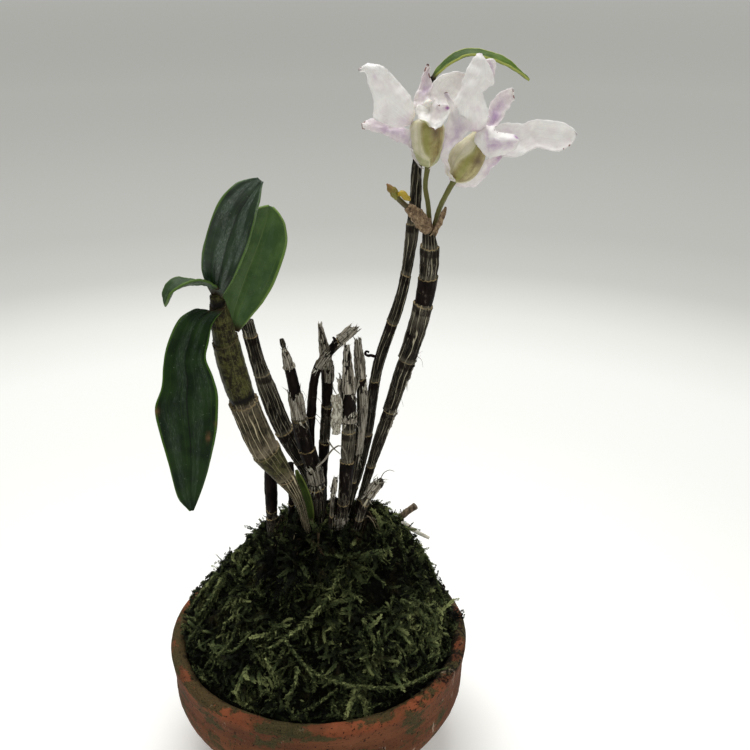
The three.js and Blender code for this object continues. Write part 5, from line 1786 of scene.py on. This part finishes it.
LEFT_FLOWER = {
    "column": {
        "route": [
            (27.2, 1.6, 161.6), (26.8, 0.4, 165.5), (26.7, 0.4, 169), (26.8, 1, 172.2), (27.5, 1.8, 175.6),
        ],
        "girth": [
            (0, 0.5), (0.04, 1.25), (0.12, 2.2), (0.25, 3.0), (0.42, 3.6), (0.58, 3.75), (0.68, 3.4),
            (0.75, 1.8), (0.88, 1.1), (1, 0.9),
        ],
        "seam": 0.022,
        "left_skin": [(0, 0.022), (0.2, 0.02), (0.34, -0.05), (0.5, -0.075), (1, -0.08)],
        "right_skin": [(0, 0.025), (0.06, 0.035), (0.17, 0.09), (0.33, 0.155), (0.45, 0.18), (1, 0.2)],
        "lens": (0.22, 0.44), "blotch": (0.075, 0.57, 0.04, 0.09),
    },
    "lip": {
        "left": [
            (24.2, -2.6, 173.8), (24.7, -3.4, 172.7), (25.7, -4.2, 172.4), (27, -4.8, 171.6),
            (28.1, -5, 170.9), (28.7, -5.2, 171.5), (29.4, -5.2, 172.1), (30.5, -5, 173.3),
            (31.4, -4.4, 174.7),
        ],
        "right": [
            (23.9, -2.2, 174.5), (24.7, -1.4, 175.8), (26, -1, 175.5), (26.6, -1, 176.6), (27.6, -1, 176.9),
            (28.5, -1.2, 176.8), (28.8, -2.4, 175.9), (30, -3.4, 176), (31.5, -4, 175.8),
        ],
        "bulge": -0.5, "frill": 0.35,
        "marks": [
            ("purple", 0.93, 0.75, 0.05, 0.16, 0.9), ("flush", 0.75, 0.7, 0.25, 0.35, 0.4),
            ("brown", 0.72, 0.93, 0.02, 0.05, 1), ("brown", 0.8, 0.95, 0.02, 0.05, 1),
            ("green", 0.25, 0.02, 0.16, 0.08, 0.9), ("brown", 0.45, 0.0, 0.12, 0.05, 0.7),
        ],
    },
    "dorsal_sepal": {
        "left": [
            (23.4, 2.6, 174.1), (23.9, 3.4, 176.5), (24.9, 4.4, 178.5), (25.6, 4.8, 180.6), (26, 4.6, 182.2),
            (26.5, 3.6, 183.4),
        ],
        "right": [
            (27.1, 2.6, 175.4), (27.4, 3.4, 177.4), (27.8, 4.2, 179), (27.5, 4.6, 180.1), (26.7, 4.4, 181.4),
            (26.8, 3.6, 183.3),
        ],
        "bulge": -0.6, "brown": 0.9,
        "marks": [
            ("flush", 0.3, 0.5, 0.35, 0.5, 0.6), ("brown", 0.8, 0.0, 0.1, 0.12, 0.9),
            ("brown", 0.7, 1, 0.1, 0.1, 0.7),
        ],
    },
    "petal_left": {
        "left": [
            (22.9, 0.6, 171.4), (20.2, -0.6, 170.7), (17.2, -1.2, 171.7), (15, -1.4, 173),
            (14.9, -1.6, 176.5), (13.9, -1.8, 179.9), (13.1, -1.6, 182.4), (11.8, -1.2, 182.8),
        ],
        "right": [
            (24, 0.8, 173.3), (23.8, 0.4, 174.9), (22.8, 0.6, 177.2), (20.6, 0.4, 180), (18, -0.2, 182.5),
            (16.3, -0.8, 183.8), (13.9, -1.2, 184.2), (11.8, -1.2, 183.1),
        ],
        "bulge": 0.9, "frill": 0.22, "brown": 0.985,
        "marks": [
            ("flush", 0.08, 0.25, 0.2, 0.5, 0.5), ("flush", 0.4, 0.3, 0.12, 0.25, 0.2),
            ("flush", 0.72, 0.42, 0.07, 0.2, 0.55), ("flush", 1, 0.5, 0.06, 1, 0.4),
            ("brown", 0.97, 0.9, 0.015, 0.2, 0.9), ("brown", 0.99, 0.0, 0.012, 0.3, 0.9),
        ],
    },
    "petal_right": {
        "left": [
            (27.3, 2.6, 175.2), (27.2, 3.8, 177.3), (27.8, 4.8, 179.1), (29.1, 5.2, 180.4), (31, 5.2, 181.3),
            (33, 5, 181.7), (34.1, 4.8, 181.5),
        ],
        "right": [
            (29.5, 2.4, 174.5), (31.7, 3.2, 174.8), (33.5, 3.8, 175.9), (34.6, 4, 177.5), (35.2, 4.2, 179.2),
            (35.4, 4.4, 180.6), (34.9, 4.6, 181.4),
        ],
        "bulge": -0.7, "frill": 0.2,
        "marks": [("flush", 0.05, 0.5, 0.12, 0.6, 0.5)],
    },
    "sepal_left": {
        "left": [
            (26.2, 0.4, 161.1), (24.1, 0.2, 164.2), (22.5, 0.4, 166.8), (19.6, 1.2, 167.5),
            (17.2, 1.6, 168.7), (14.1, 1.8, 169.5), (12.3, 1.4, 170),
        ],
        "right": [
            (25.2, -0.8, 162.9), (23.7, -1.4, 166.6), (23.1, -0.6, 169.9), (21.2, 1.2, 170.4),
            (18.1, 2, 170.9), (14.6, 2.2, 172), (12.2, 1.6, 171.1),
        ],
        "bulge": 0.3, "brown": 0.975,
        "marks": [
            ("flush", 0.5, 0.6, 0.12, 0.5, 0.6), ("flush", 0.7, 0.4, 0.12, 0.5, 0.6),
            ("flush", 0.34, 0.2, 0.1, 0.4, 0.4), ("green", 0.1, 0.6, 0.18, 0.6, 0.3),
            ("brown", 0.95, 0.95, 0.02, 0.15, 1), ("brown", 0.96, 0.05, 0.02, 0.15, 1),
        ],
    },
    "sepal_right": {
        "left": [
            (27.5, 0.6, 161), (29.9, 0.6, 164.4), (30.8, 1, 167.4), (31.5, 2.2, 169.3), (33.2, 3.2, 170.2),
            (35, 3.8, 170.8),
        ],
        "right": [
            (28.7, -0.6, 162.8), (29.6, -0.8, 166.4), (30, 0.2, 168.9), (30.7, 1.8, 171.2), (32.7, 3, 171.8),
            (35, 3.8, 171.5),
        ],
        "bulge": 0.3,
        "marks": [("flush", 0.6, 0.5, 0.2, 0.6, 0.6), ("green", 0.1, 0.6, 0.18, 0.6, 0.3)],
    },
}
RIGHT_FLOWER = {
    "column": {
        "route": [
            (32.8, -2.6, 159.2), (34.1, -2.6, 161.7), (35.4, -2.8, 164.4), (37.1, -3.2, 167.6),
            (38.4, -3.4, 170.8),
        ],
        "girth": [
            (0, 0.7), (0.05, 1.9), (0.12, 2.7), (0.22, 3.3), (0.34, 3.6), (0.48, 3.7), (0.6, 3.4),
            (0.75, 2.5), (1, 0.8),
        ],
        "seam": -0.06,
        "left_skin": [(0, -0.09), (0.1, -0.1), (0.35, -0.09), (0.7, -0.02), (1, 0.0)],
        "right_skin": [(0, 0.06), (0.1, 0.12), (0.2, 0.19), (0.4, 0.24), (1, 0.25)],
        "lens": (0.02, 0.02), "blotch": (0.09, 0.56, 0.06, 0.07),
    },
    "lip": {
        "left": [
            (36.6, -5.6, 168.7), (37.4, -6.4, 167.4), (38.6, -7, 166.3), (40, -7.4, 165.5),
            (41.7, -7.8, 166.1), (43.7, -8, 166.9), (45.4, -8, 167.9), (46, -7.8, 168.9),
        ],
        "right": [
            (36.6, -5.2, 169.3), (37.4, -4.6, 170.9), (38.3, -4.4, 171.5), (39.5, -4.6, 171.9),
            (40.4, -5.2, 171.8), (41.3, -6.2, 170.8), (44.6, -7.2, 170.4), (45.8, -7.6, 169.6),
        ],
        "bulge": 1.0, "frill": 0.35,
        "marks": [
            ("purple", 0.93, 0.86, 0.06, 0.2, 1.0), ("flush", 0.65, 0.35, 0.35, 0.3, 0.8),
            ("flush", 0.4, 0.7, 0.1, 0.3, 0.5), ("brown", 0.66, 0.97, 0.015, 0.03, 1),
            ("brown", 0.72, 0.95, 0.015, 0.03, 1), ("brown", 0.78, 0.98, 0.015, 0.03, 1),
        ],
    },
    "dorsal_sepal": {
        "left": [
            (38.9, -2.4, 171.3), (39.7, -1.2, 173.2), (40.1, -0.2, 175.3), (41.2, 0.4, 176.7),
            (42.4, 0.8, 177.9), (44, 1, 178.7), (45, 0.6, 178.9),
        ],
        "right": [
            (41.7, -2, 171.2), (42.8, -1, 172.3), (43.5, -0.2, 173.4), (44.4, 0.4, 174.7), (45, 0.8, 175.8),
            (45.5, 1, 176.8), (45.4, 0.6, 178.5),
        ],
        "bulge": -0.5,
        "marks": [
            ("flush", 0.35, 0.55, 0.3, 0.3, 0.7), ("flush", 0.1, 0.5, 0.2, 0.9, 0.4),
            ("brown", 0.97, 0.8, 0.03, 0.25, 1), ("brown", 0.86, 1, 0.05, 0.1, 1),
        ],
    },
    "petal_left": {
        "left": [
            (33.4, -4.6, 170.6), (31.4, -5.4, 174.2), (32, -5.6, 176.7), (33.2, -5.8, 179.1),
            (33.8, -5.8, 181.9), (34.7, -5.6, 184.2), (35.9, -5.2, 186), (36.8, -4.8, 186.8),
        ],
        "right": [
            (38.8, -4.6, 170.8), (39.4, -5.8, 174.3), (38.7, -6.2, 176.6), (37.9, -6.4, 178.9),
            (39.2, -5.6, 180), (40.5, -4.8, 180.9), (39.4, -4.8, 184), (37.4, -4.8, 186.7),
        ],
        "bulge": 0.8, "frill": 0.2,
        "marks": [
            ("flush", 0.22, 0.7, 0.12, 0.25, 0.35), ("flush", 0.82, 0.5, 0.12, 0.3, 0.3),
            ("flush", 1, 0.5, 0.06, 1, 0.5), ("flush", 0.0, 0.4, 0.08, 0.6, 0.6),
        ],
    },
    "petal_right": {
        "left": [
            (41, -2.6, 166.8), (43.1, -2.8, 164.9), (46.1, -2.8, 164.6), (48.5, -2.4, 165.5),
            (50.9, -2.2, 166.5), (55.2, -2.6, 165.8), (58.1, -2.6, 167.5), (59.1, -2.4, 169.3),
        ],
        "right": [
            (40.9, -1.8, 171.1), (43.8, -0.8, 171.7), (47.1, -0.4, 171.5), (48.8, -0.4, 171.9),
            (50.4, -0.4, 172.4), (55.2, -0.6, 171.9), (58, -1.2, 170.7), (59.2, -2, 169.8),
        ],
        "bulge": -0.6, "frill": 0.2,
        "marks": [
            ("flush", 0.2, 0.65, 0.14, 0.3, 0.6), ("flush", 1, 0.5, 0.04, 1, 0.5),
            ("flush", 0.12, 0.1, 0.12, 0.25, 0.4), ("brown", 0.83, 0.02, 0.012, 0.05, 1),
            ("brown", 0.77, 0.02, 0.01, 0.04, 1),
        ],
    },
    "sepal_left": {
        "left": [
            (31.4, -5, 159.9), (30.5, -5.2, 162.1), (29.9, -5, 165.6), (30.1, -4.6, 168.9),
            (30.4, -4.6, 171.9), (31.2, -5, 175.1), (30.5, -5.6, 177.2), (29.8, -5.8, 178.8),
        ],
        "right": [
            (32.6, -5.8, 159.7), (31.2, -6.6, 162.6), (31.3, -6.8, 166.2), (34.4, -6.8, 169.9),
            (36, -6.7, 172.2), (33, -6, 174.9), (31.9, -6.2, 177), (30.3, -6, 179),
        ],
        "bulge": 0.3, "brown": 0.985,
        "marks": [
            ("flush", 0.5, 0.6, 0.14, 0.4, 0.65), ("flush", 0.3, 0.05, 0.25, 0.12, 0.6),
            ("flush", 0.95, 0.5, 0.08, 1, 0.25), ("green", 0.1, 0.7, 0.12, 0.4, 0.5),
        ],
    },
    "sepal_right": {
        "left": [
            (32.9, -1.6, 158.4), (35.1, -1.4, 157.7), (37.3, -1.2, 157.8), (39.3, -1.0, 159.6),
            (41.4, -0.6, 162), (43.3, -0.4, 164),
        ],
        "right": [
            (33.1, -2.8, 159), (35.4, -3.4, 160.2), (36.6, -3.4, 162.2), (38.6, -3, 163.8),
            (40.8, -1.8, 164.6), (42.9, -0.8, 164.9),
        ],
        "bulge": 0.2,
        "marks": [
            ("purple", 0.93, 0.5, 0.08, 0.6, 0.45), ("flush", 0.75, 0.3, 0.15, 0.5, 0.6),
            ("flush", 0.3, 0.1, 0.2, 0.2, 0.3),
        ],
    },
}
FLOWERS = {"flower_left": LEFT_FLOWER, "flower_right": RIGHT_FLOWER}
# The turned-over edge behind the tall petal, which shows its lavender side
PETAL_FOLD = {
    "left": [(39.1, -3.8, 182.1), (38.7, -3.4, 183.6), (38.4, -3.2, 185.1), (39, -3, 185.5)],
    "right": [(40.5, -3.6, 181.6), (40.8, -3.2, 183.2), (40.9, -3, 184.6), (40.1, -3, 185.4)],
    "bulge": 0.2,
    "marks": [("flush", 0.4, 0.4, 0.4, 0.5, 0.7)],
}
ANTHER_CAP = {
    "route": [(25.9, -1.5, 175.4), (26.6, -1.8, 176), (27.5, -1.7, 176.2)],
    "girth": [(0, 0.3), (0.3, 0.75), (0.7, 0.8), (1, 0.35)],
}
PETAL_THICKNESS = 0.24
MARK_KINDS = ("flush", "green", "purple", "brown")


def tissue(name, spec, finish, slot, seed, *nodes):
    """A petal, sepal or lip: a sheet between two outlines, cupped, crinkled and painted with its marks."""
    points, normal, sideways, along, across = sheet_points(spec, *TISSUE_GRID)
    cup = 1.5 * spec["bulge"] * np.sin(math.pi * across) * np.sin(math.pi * along) ** 0.5
    crinkle = 0.45 * ripple(points, 7, seed) + 0.14 * ripple(points, 2.2, seed + 1)
    edge = np.abs(2 * across - 1) ** 5 * spec.get("frill", 0.12) * ripple(points, 2.6, seed + 2)
    veins = 0.02 * np.sin(across * 50 + 2 * ripple(points, 6, seed + 3))
    ragged = sideways * ((2 * across - 1) ** 3 * 0.14 * ripple(points, 1.5, seed + 4))[..., None]
    points = points + normal * (cup + crinkle + edge + veins)[..., None] + ragged
    marks = {kind: np.zeros_like(along) for kind in MARK_KINDS}
    for kind, mark_along, mark_across, length, width, strength in spec.get("marks", ()):
        marks[kind] += strength * bell(along - mark_along, length) * bell(across - mark_across, width)
    if "brown" in spec:
        marks["brown"] += np.clip((along - spec["brown"]) / (1 - spec["brown"]), 0, 1)
    return sheet_piece(name, points, PETAL_THICKNESS, finish, slot, *nodes, marks=marks)


def chin(name, spec, finish, node):
    """The bag of a flower: olive in front, with pale skins at both sides that lap over it and meet below.

    left_skin and right_skin give where the skins end, as [place along, turn]; below a line across
    the bag, whose height in the middle and at the sides is its lens, they are greener.
    """
    path = Path(spec["route"])
    along = along_grid(CHIN_GRID[0])
    turn = around_grid(CHIN_GRID[1])
    radius = read_value(spec["girth"], along) + 0 * turn
    radius = radius * (1 + 0.02 * ripple(round_spots(turn, along, 3, 14), 5, 77))
    left_edge = read_value(spec["left_skin"], along) - turn
    right_edge = turn - read_value(spec["right_skin"], along)
    inside = np.maximum(left_edge, right_edge)
    lens_line = spec["lens"][0] + (spec["lens"][1] - spec["lens"][0]) * np.abs(np.sin(math.pi * turn))
    below = np.clip((lens_line - along) / (0.04 + 0.16 * np.abs(turn)) + 0.5, 0, 1)
    skin = np.clip(inside / (0.06 - 0.045 * below) + 0.5, 0, 1)
    radius = radius + (0.15 * skin + 0.10 * below * skin) * np.clip(along / 0.1, 0, 1)
    radius = radius - 0.15 * bell(turn - spec["seam"], 0.01) * below
    blotch_turn, blotch_along, blotch_width, blotch_length = spec["blotch"]
    marks = {
        "skin": skin,
        "below": below,
        # edge marks where a painted highlight runs along the skins' rims and the lens line
        "edge": bell(inside - 0.006, 0.008) + 0.7 * bell(along - lens_line, 0.009) * (skin > 0),
        "brown": 0.9 * bell(turn - blotch_turn, blotch_width) * bell(along - blotch_along, blotch_length),
        "centre": bell(turn + 0.01, 0.045) + 0 * along,
    }
    return finish_piece(tube(name, path, along, radius, marks), finish, "chin", node)


def flower(name, finishes):
    parts = FLOWERS[name]
    chin(name + "_chin", parts["column"], finishes["chin"], name + "_column")
    for index, (part, spec) in enumerate(parts.items()):
        if part == "column":
            continue
        slot = "sepal" if "sepal" in part else "petal"
        tissue(f"{name}_{part}_tissue", spec, finishes[slot], slot, 200 + 10 * index, f"{name}_{part}")


# Loose things on the moss

TWIG = {"route": [(19, 8.4, 60.5), (22.4, 8, 66), (26, 8, 69.2)], "girth": [(0, 0.8), (0.6, 0.85), (1, 0.95)]}
AERIAL_ROOT = {
    "route": [(19, 6, 62), (22.8, 5.6, 65.2), (25, 5, 63.8), (27.4, 4.2, 62.8), (29.6, 3.6, 61.9)],
    "girth": [(0, 0.6), (0.7, 0.55), (1, 0.4)],
}
SKIN_SCRAP = {
    "left": [
        (4.9, -3.4, 96.6), (4.5, -3.6, 99.5), (4.8, -3.8, 103.4), (4.6, -3.8, 106.1), (4.8, -3.6, 107.6),
    ],
    "right": [(6.6, -3.2, 96.8), (6.9, -3.2, 99.3), (7.2, -3.2, 103.1), (7, -3.4, 105.9), (6.3, -3.4, 107.7)],
}


def skin_scrap(finish):
    points, normal, sideways, _, across = sheet_points(SKIN_SCRAP, *SCRAP_GRID)
    ragged = (2 * across - 1) ** 3 * (0.25 * ripple(points, 3, 67) + 0.12 * ripple(points, 0.9, 68))
    relief = 0.35 * ripple(points, 4, 66) + 0.10 * ripple(points, 1.4, 69) - 0.7 * np.sin(math.pi * across)
    points = points - normal * relief[..., None] + sideways * ragged[..., None]
    return sheet_piece("skin_scrap_sheet", points, SHEATH_THICKNESS, finish, "papery_skin", "skin_scrap")


# Stage


def add_camera():
    data = bpy.data.cameras.new("camera")
    data.lens = CAMERA_LENS
    data.clip_start = 0.01
    camera = add_object("camera", data)
    camera.location = CAMERA_PLACE
    camera.rotation_euler = (math.radians(90 - CAMERA_PITCH), 0, 0)
    bpy.context.scene.camera = camera


def add_floor():
    """A pale sheet that greys evenly in all directions away from the bowl, and glows near the bowl as painted
    light over the bowl's shadow.
    """
    finish = Finish("floor", Roughness=0.9, Specular_IOR_Level=0.1, Emission_Strength=1.0)
    reach = finish.node("ShaderNodeVectorMath", {"operation": "LENGTH"}, [finish.place()], "Value")
    furthest = FLOOR_COLOURS[-1][0]
    stops = [(distance / furthest, shade) for distance, shade in FLOOR_COLOURS]
    finish.shade(finish.ramp(reach * (MM / furthest), *stops))
    # The floor glows near the bowl: painted light that brightens the bowl's shadow
    painted_light = 1 - (reach * MM).step(FLOOR_PAINTED_LIGHT_START, FLOOR_PAINTED_LIGHT_REACH)
    finish.feed(finish.shader.inputs["Emission Color"], finish.mix(painted_light, (0, 0, 0), FLOOR_PAINTED_LIGHT))
    deselect_all()
    bpy.ops.mesh.primitive_circle_add(vertices=96, radius=FLOOR_RADIUS, fill_type="NGON")
    floor = bpy.context.object
    floor.name = "floor"
    floor.data.materials.append(finish.material)


def add_area_light(name, light):
    data = bpy.data.lights.new(name, "AREA")
    data.size = light["size"]
    data.energy = light["watts"]
    lamp = add_object(name, data)
    lamp.location = light["place"]
    towards = Vector(LIGHTS_AIM) - lamp.location
    lamp.rotation_euler = towards.to_track_quat("-Z", "Y").to_euler()


def add_sky():
    world = bpy.data.worlds.new("studio")
    world.use_nodes = True
    background = world.node_tree.nodes["Background"]
    background.inputs["Color"].default_value = colour(*SKY_COLOUR)
    background.inputs["Strength"].default_value = SKY_STRENGTH
    bpy.context.scene.world = world


def stage():
    add_camera()
    add_floor()
    add_area_light("key", KEY_LIGHT)
    add_area_light("fill", FILL_LIGHT)
    add_sky()
    bpy.context.scene.view_settings.view_transform = "Standard"


# The whole plant


def dress_cad_node(name, finish):
    """A CAD node keeps its shape and gets a better finish."""
    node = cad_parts[name]
    node.data.materials.clear()
    node.data.materials.append(finish.material)


def plant():
    bowl(terracotta())
    dress_cad_node("growing_medium", soil())
    dress_cad_node("rootstock", bark("rootstock_bark", (48, 38, 28), (92, 76, 56)))
    moss_ground(moss_base_and_gap_shade())
    moss(moss_green())
    tangle(old_root())
    dark, olive, paper, fine = dark_cane(), olive_cane(), papery(), fine_paper()
    for name in CANES:
        finish, slot = (olive, "olive_cane") if name == "cane_leafy" else (dark, "dark_cane")
        cane(name, finish, slot)
    for index, spec in enumerate(SHEATHS):
        sheath(index, spec, paper)
    shreds(fine)
    for index in range(len(FIBRES)):
        fibre(index, paper)
    for index, route in enumerate(TWIGLETS):
        twiglet(index, route, dark)
    for name, look in LEAF_LOOKS.items():
        leaf(name, leaf_finish(*look))
    stalk = stalk_finish("pedicel", (72, 58, 26), (104, 104, 46))
    for name, spec in STALKS.items():
        soft_stem(name + "_stalk", spec, stalk, "pedicel", name, wrinkle=0.05)
    dry = dried_scale()
    bract(dry)
    soft_stem("spent_bud_sheath", BUD_SHEATH, dry, "dried_scale", "spent_bud", wrinkle=0.14)
    soft_stem("spent_bud_stalk", BUD_STALK, stalk, "pedicel", wrinkle=0.05)
    tip = stalk_finish("bud_tip", (126, 124, 48), (142, 70, 44))
    soft_stem("spent_bud_tip", BUD_TIP, tip, "dried_scale", wrinkle=0.16)
    blob = stalk_finish("bud_blob", (188, 164, 48), (150, 118, 36))
    soft_stem("spent_bud_blob", BUD_BLOB, blob, "dried_scale", wrinkle=0.14)
    # The second colour of each petal finish is painted shade, used in its clouds
    finishes = {
        "petal": petal_finish("petal", (255, 253, 246), (240, 229, 229), (186, 158, 192)),
        "sepal": petal_finish("sepal", (246, 238, 234), (222, 207, 216), (168, 142, 180)),
        "chin": chin_finish(),
    }
    for name in FLOWERS:
        flower(name, finishes)
    tissue("flower_right_petal_fold", PETAL_FOLD, finishes["sepal"], "sepal", 290)
    anther = stalk_finish("anther", (238, 236, 226), (214, 210, 200))
    soft_stem("flower_left_anther_cap", ANTHER_CAP, anther, "petal")
    twig_bark = bark("twig_bark", (70, 58, 44), (140, 122, 98))
    soft_stem("twig_stick", TWIG, twig_bark, "rootstock", "twig", wrinkle=0.1)
    soft_stem("aerial_root_strand", AERIAL_ROOT, pale_root(), "pale_root", "aerial_root", wrinkle=0.06)
    skin_scrap(fine)


stage()
plant()
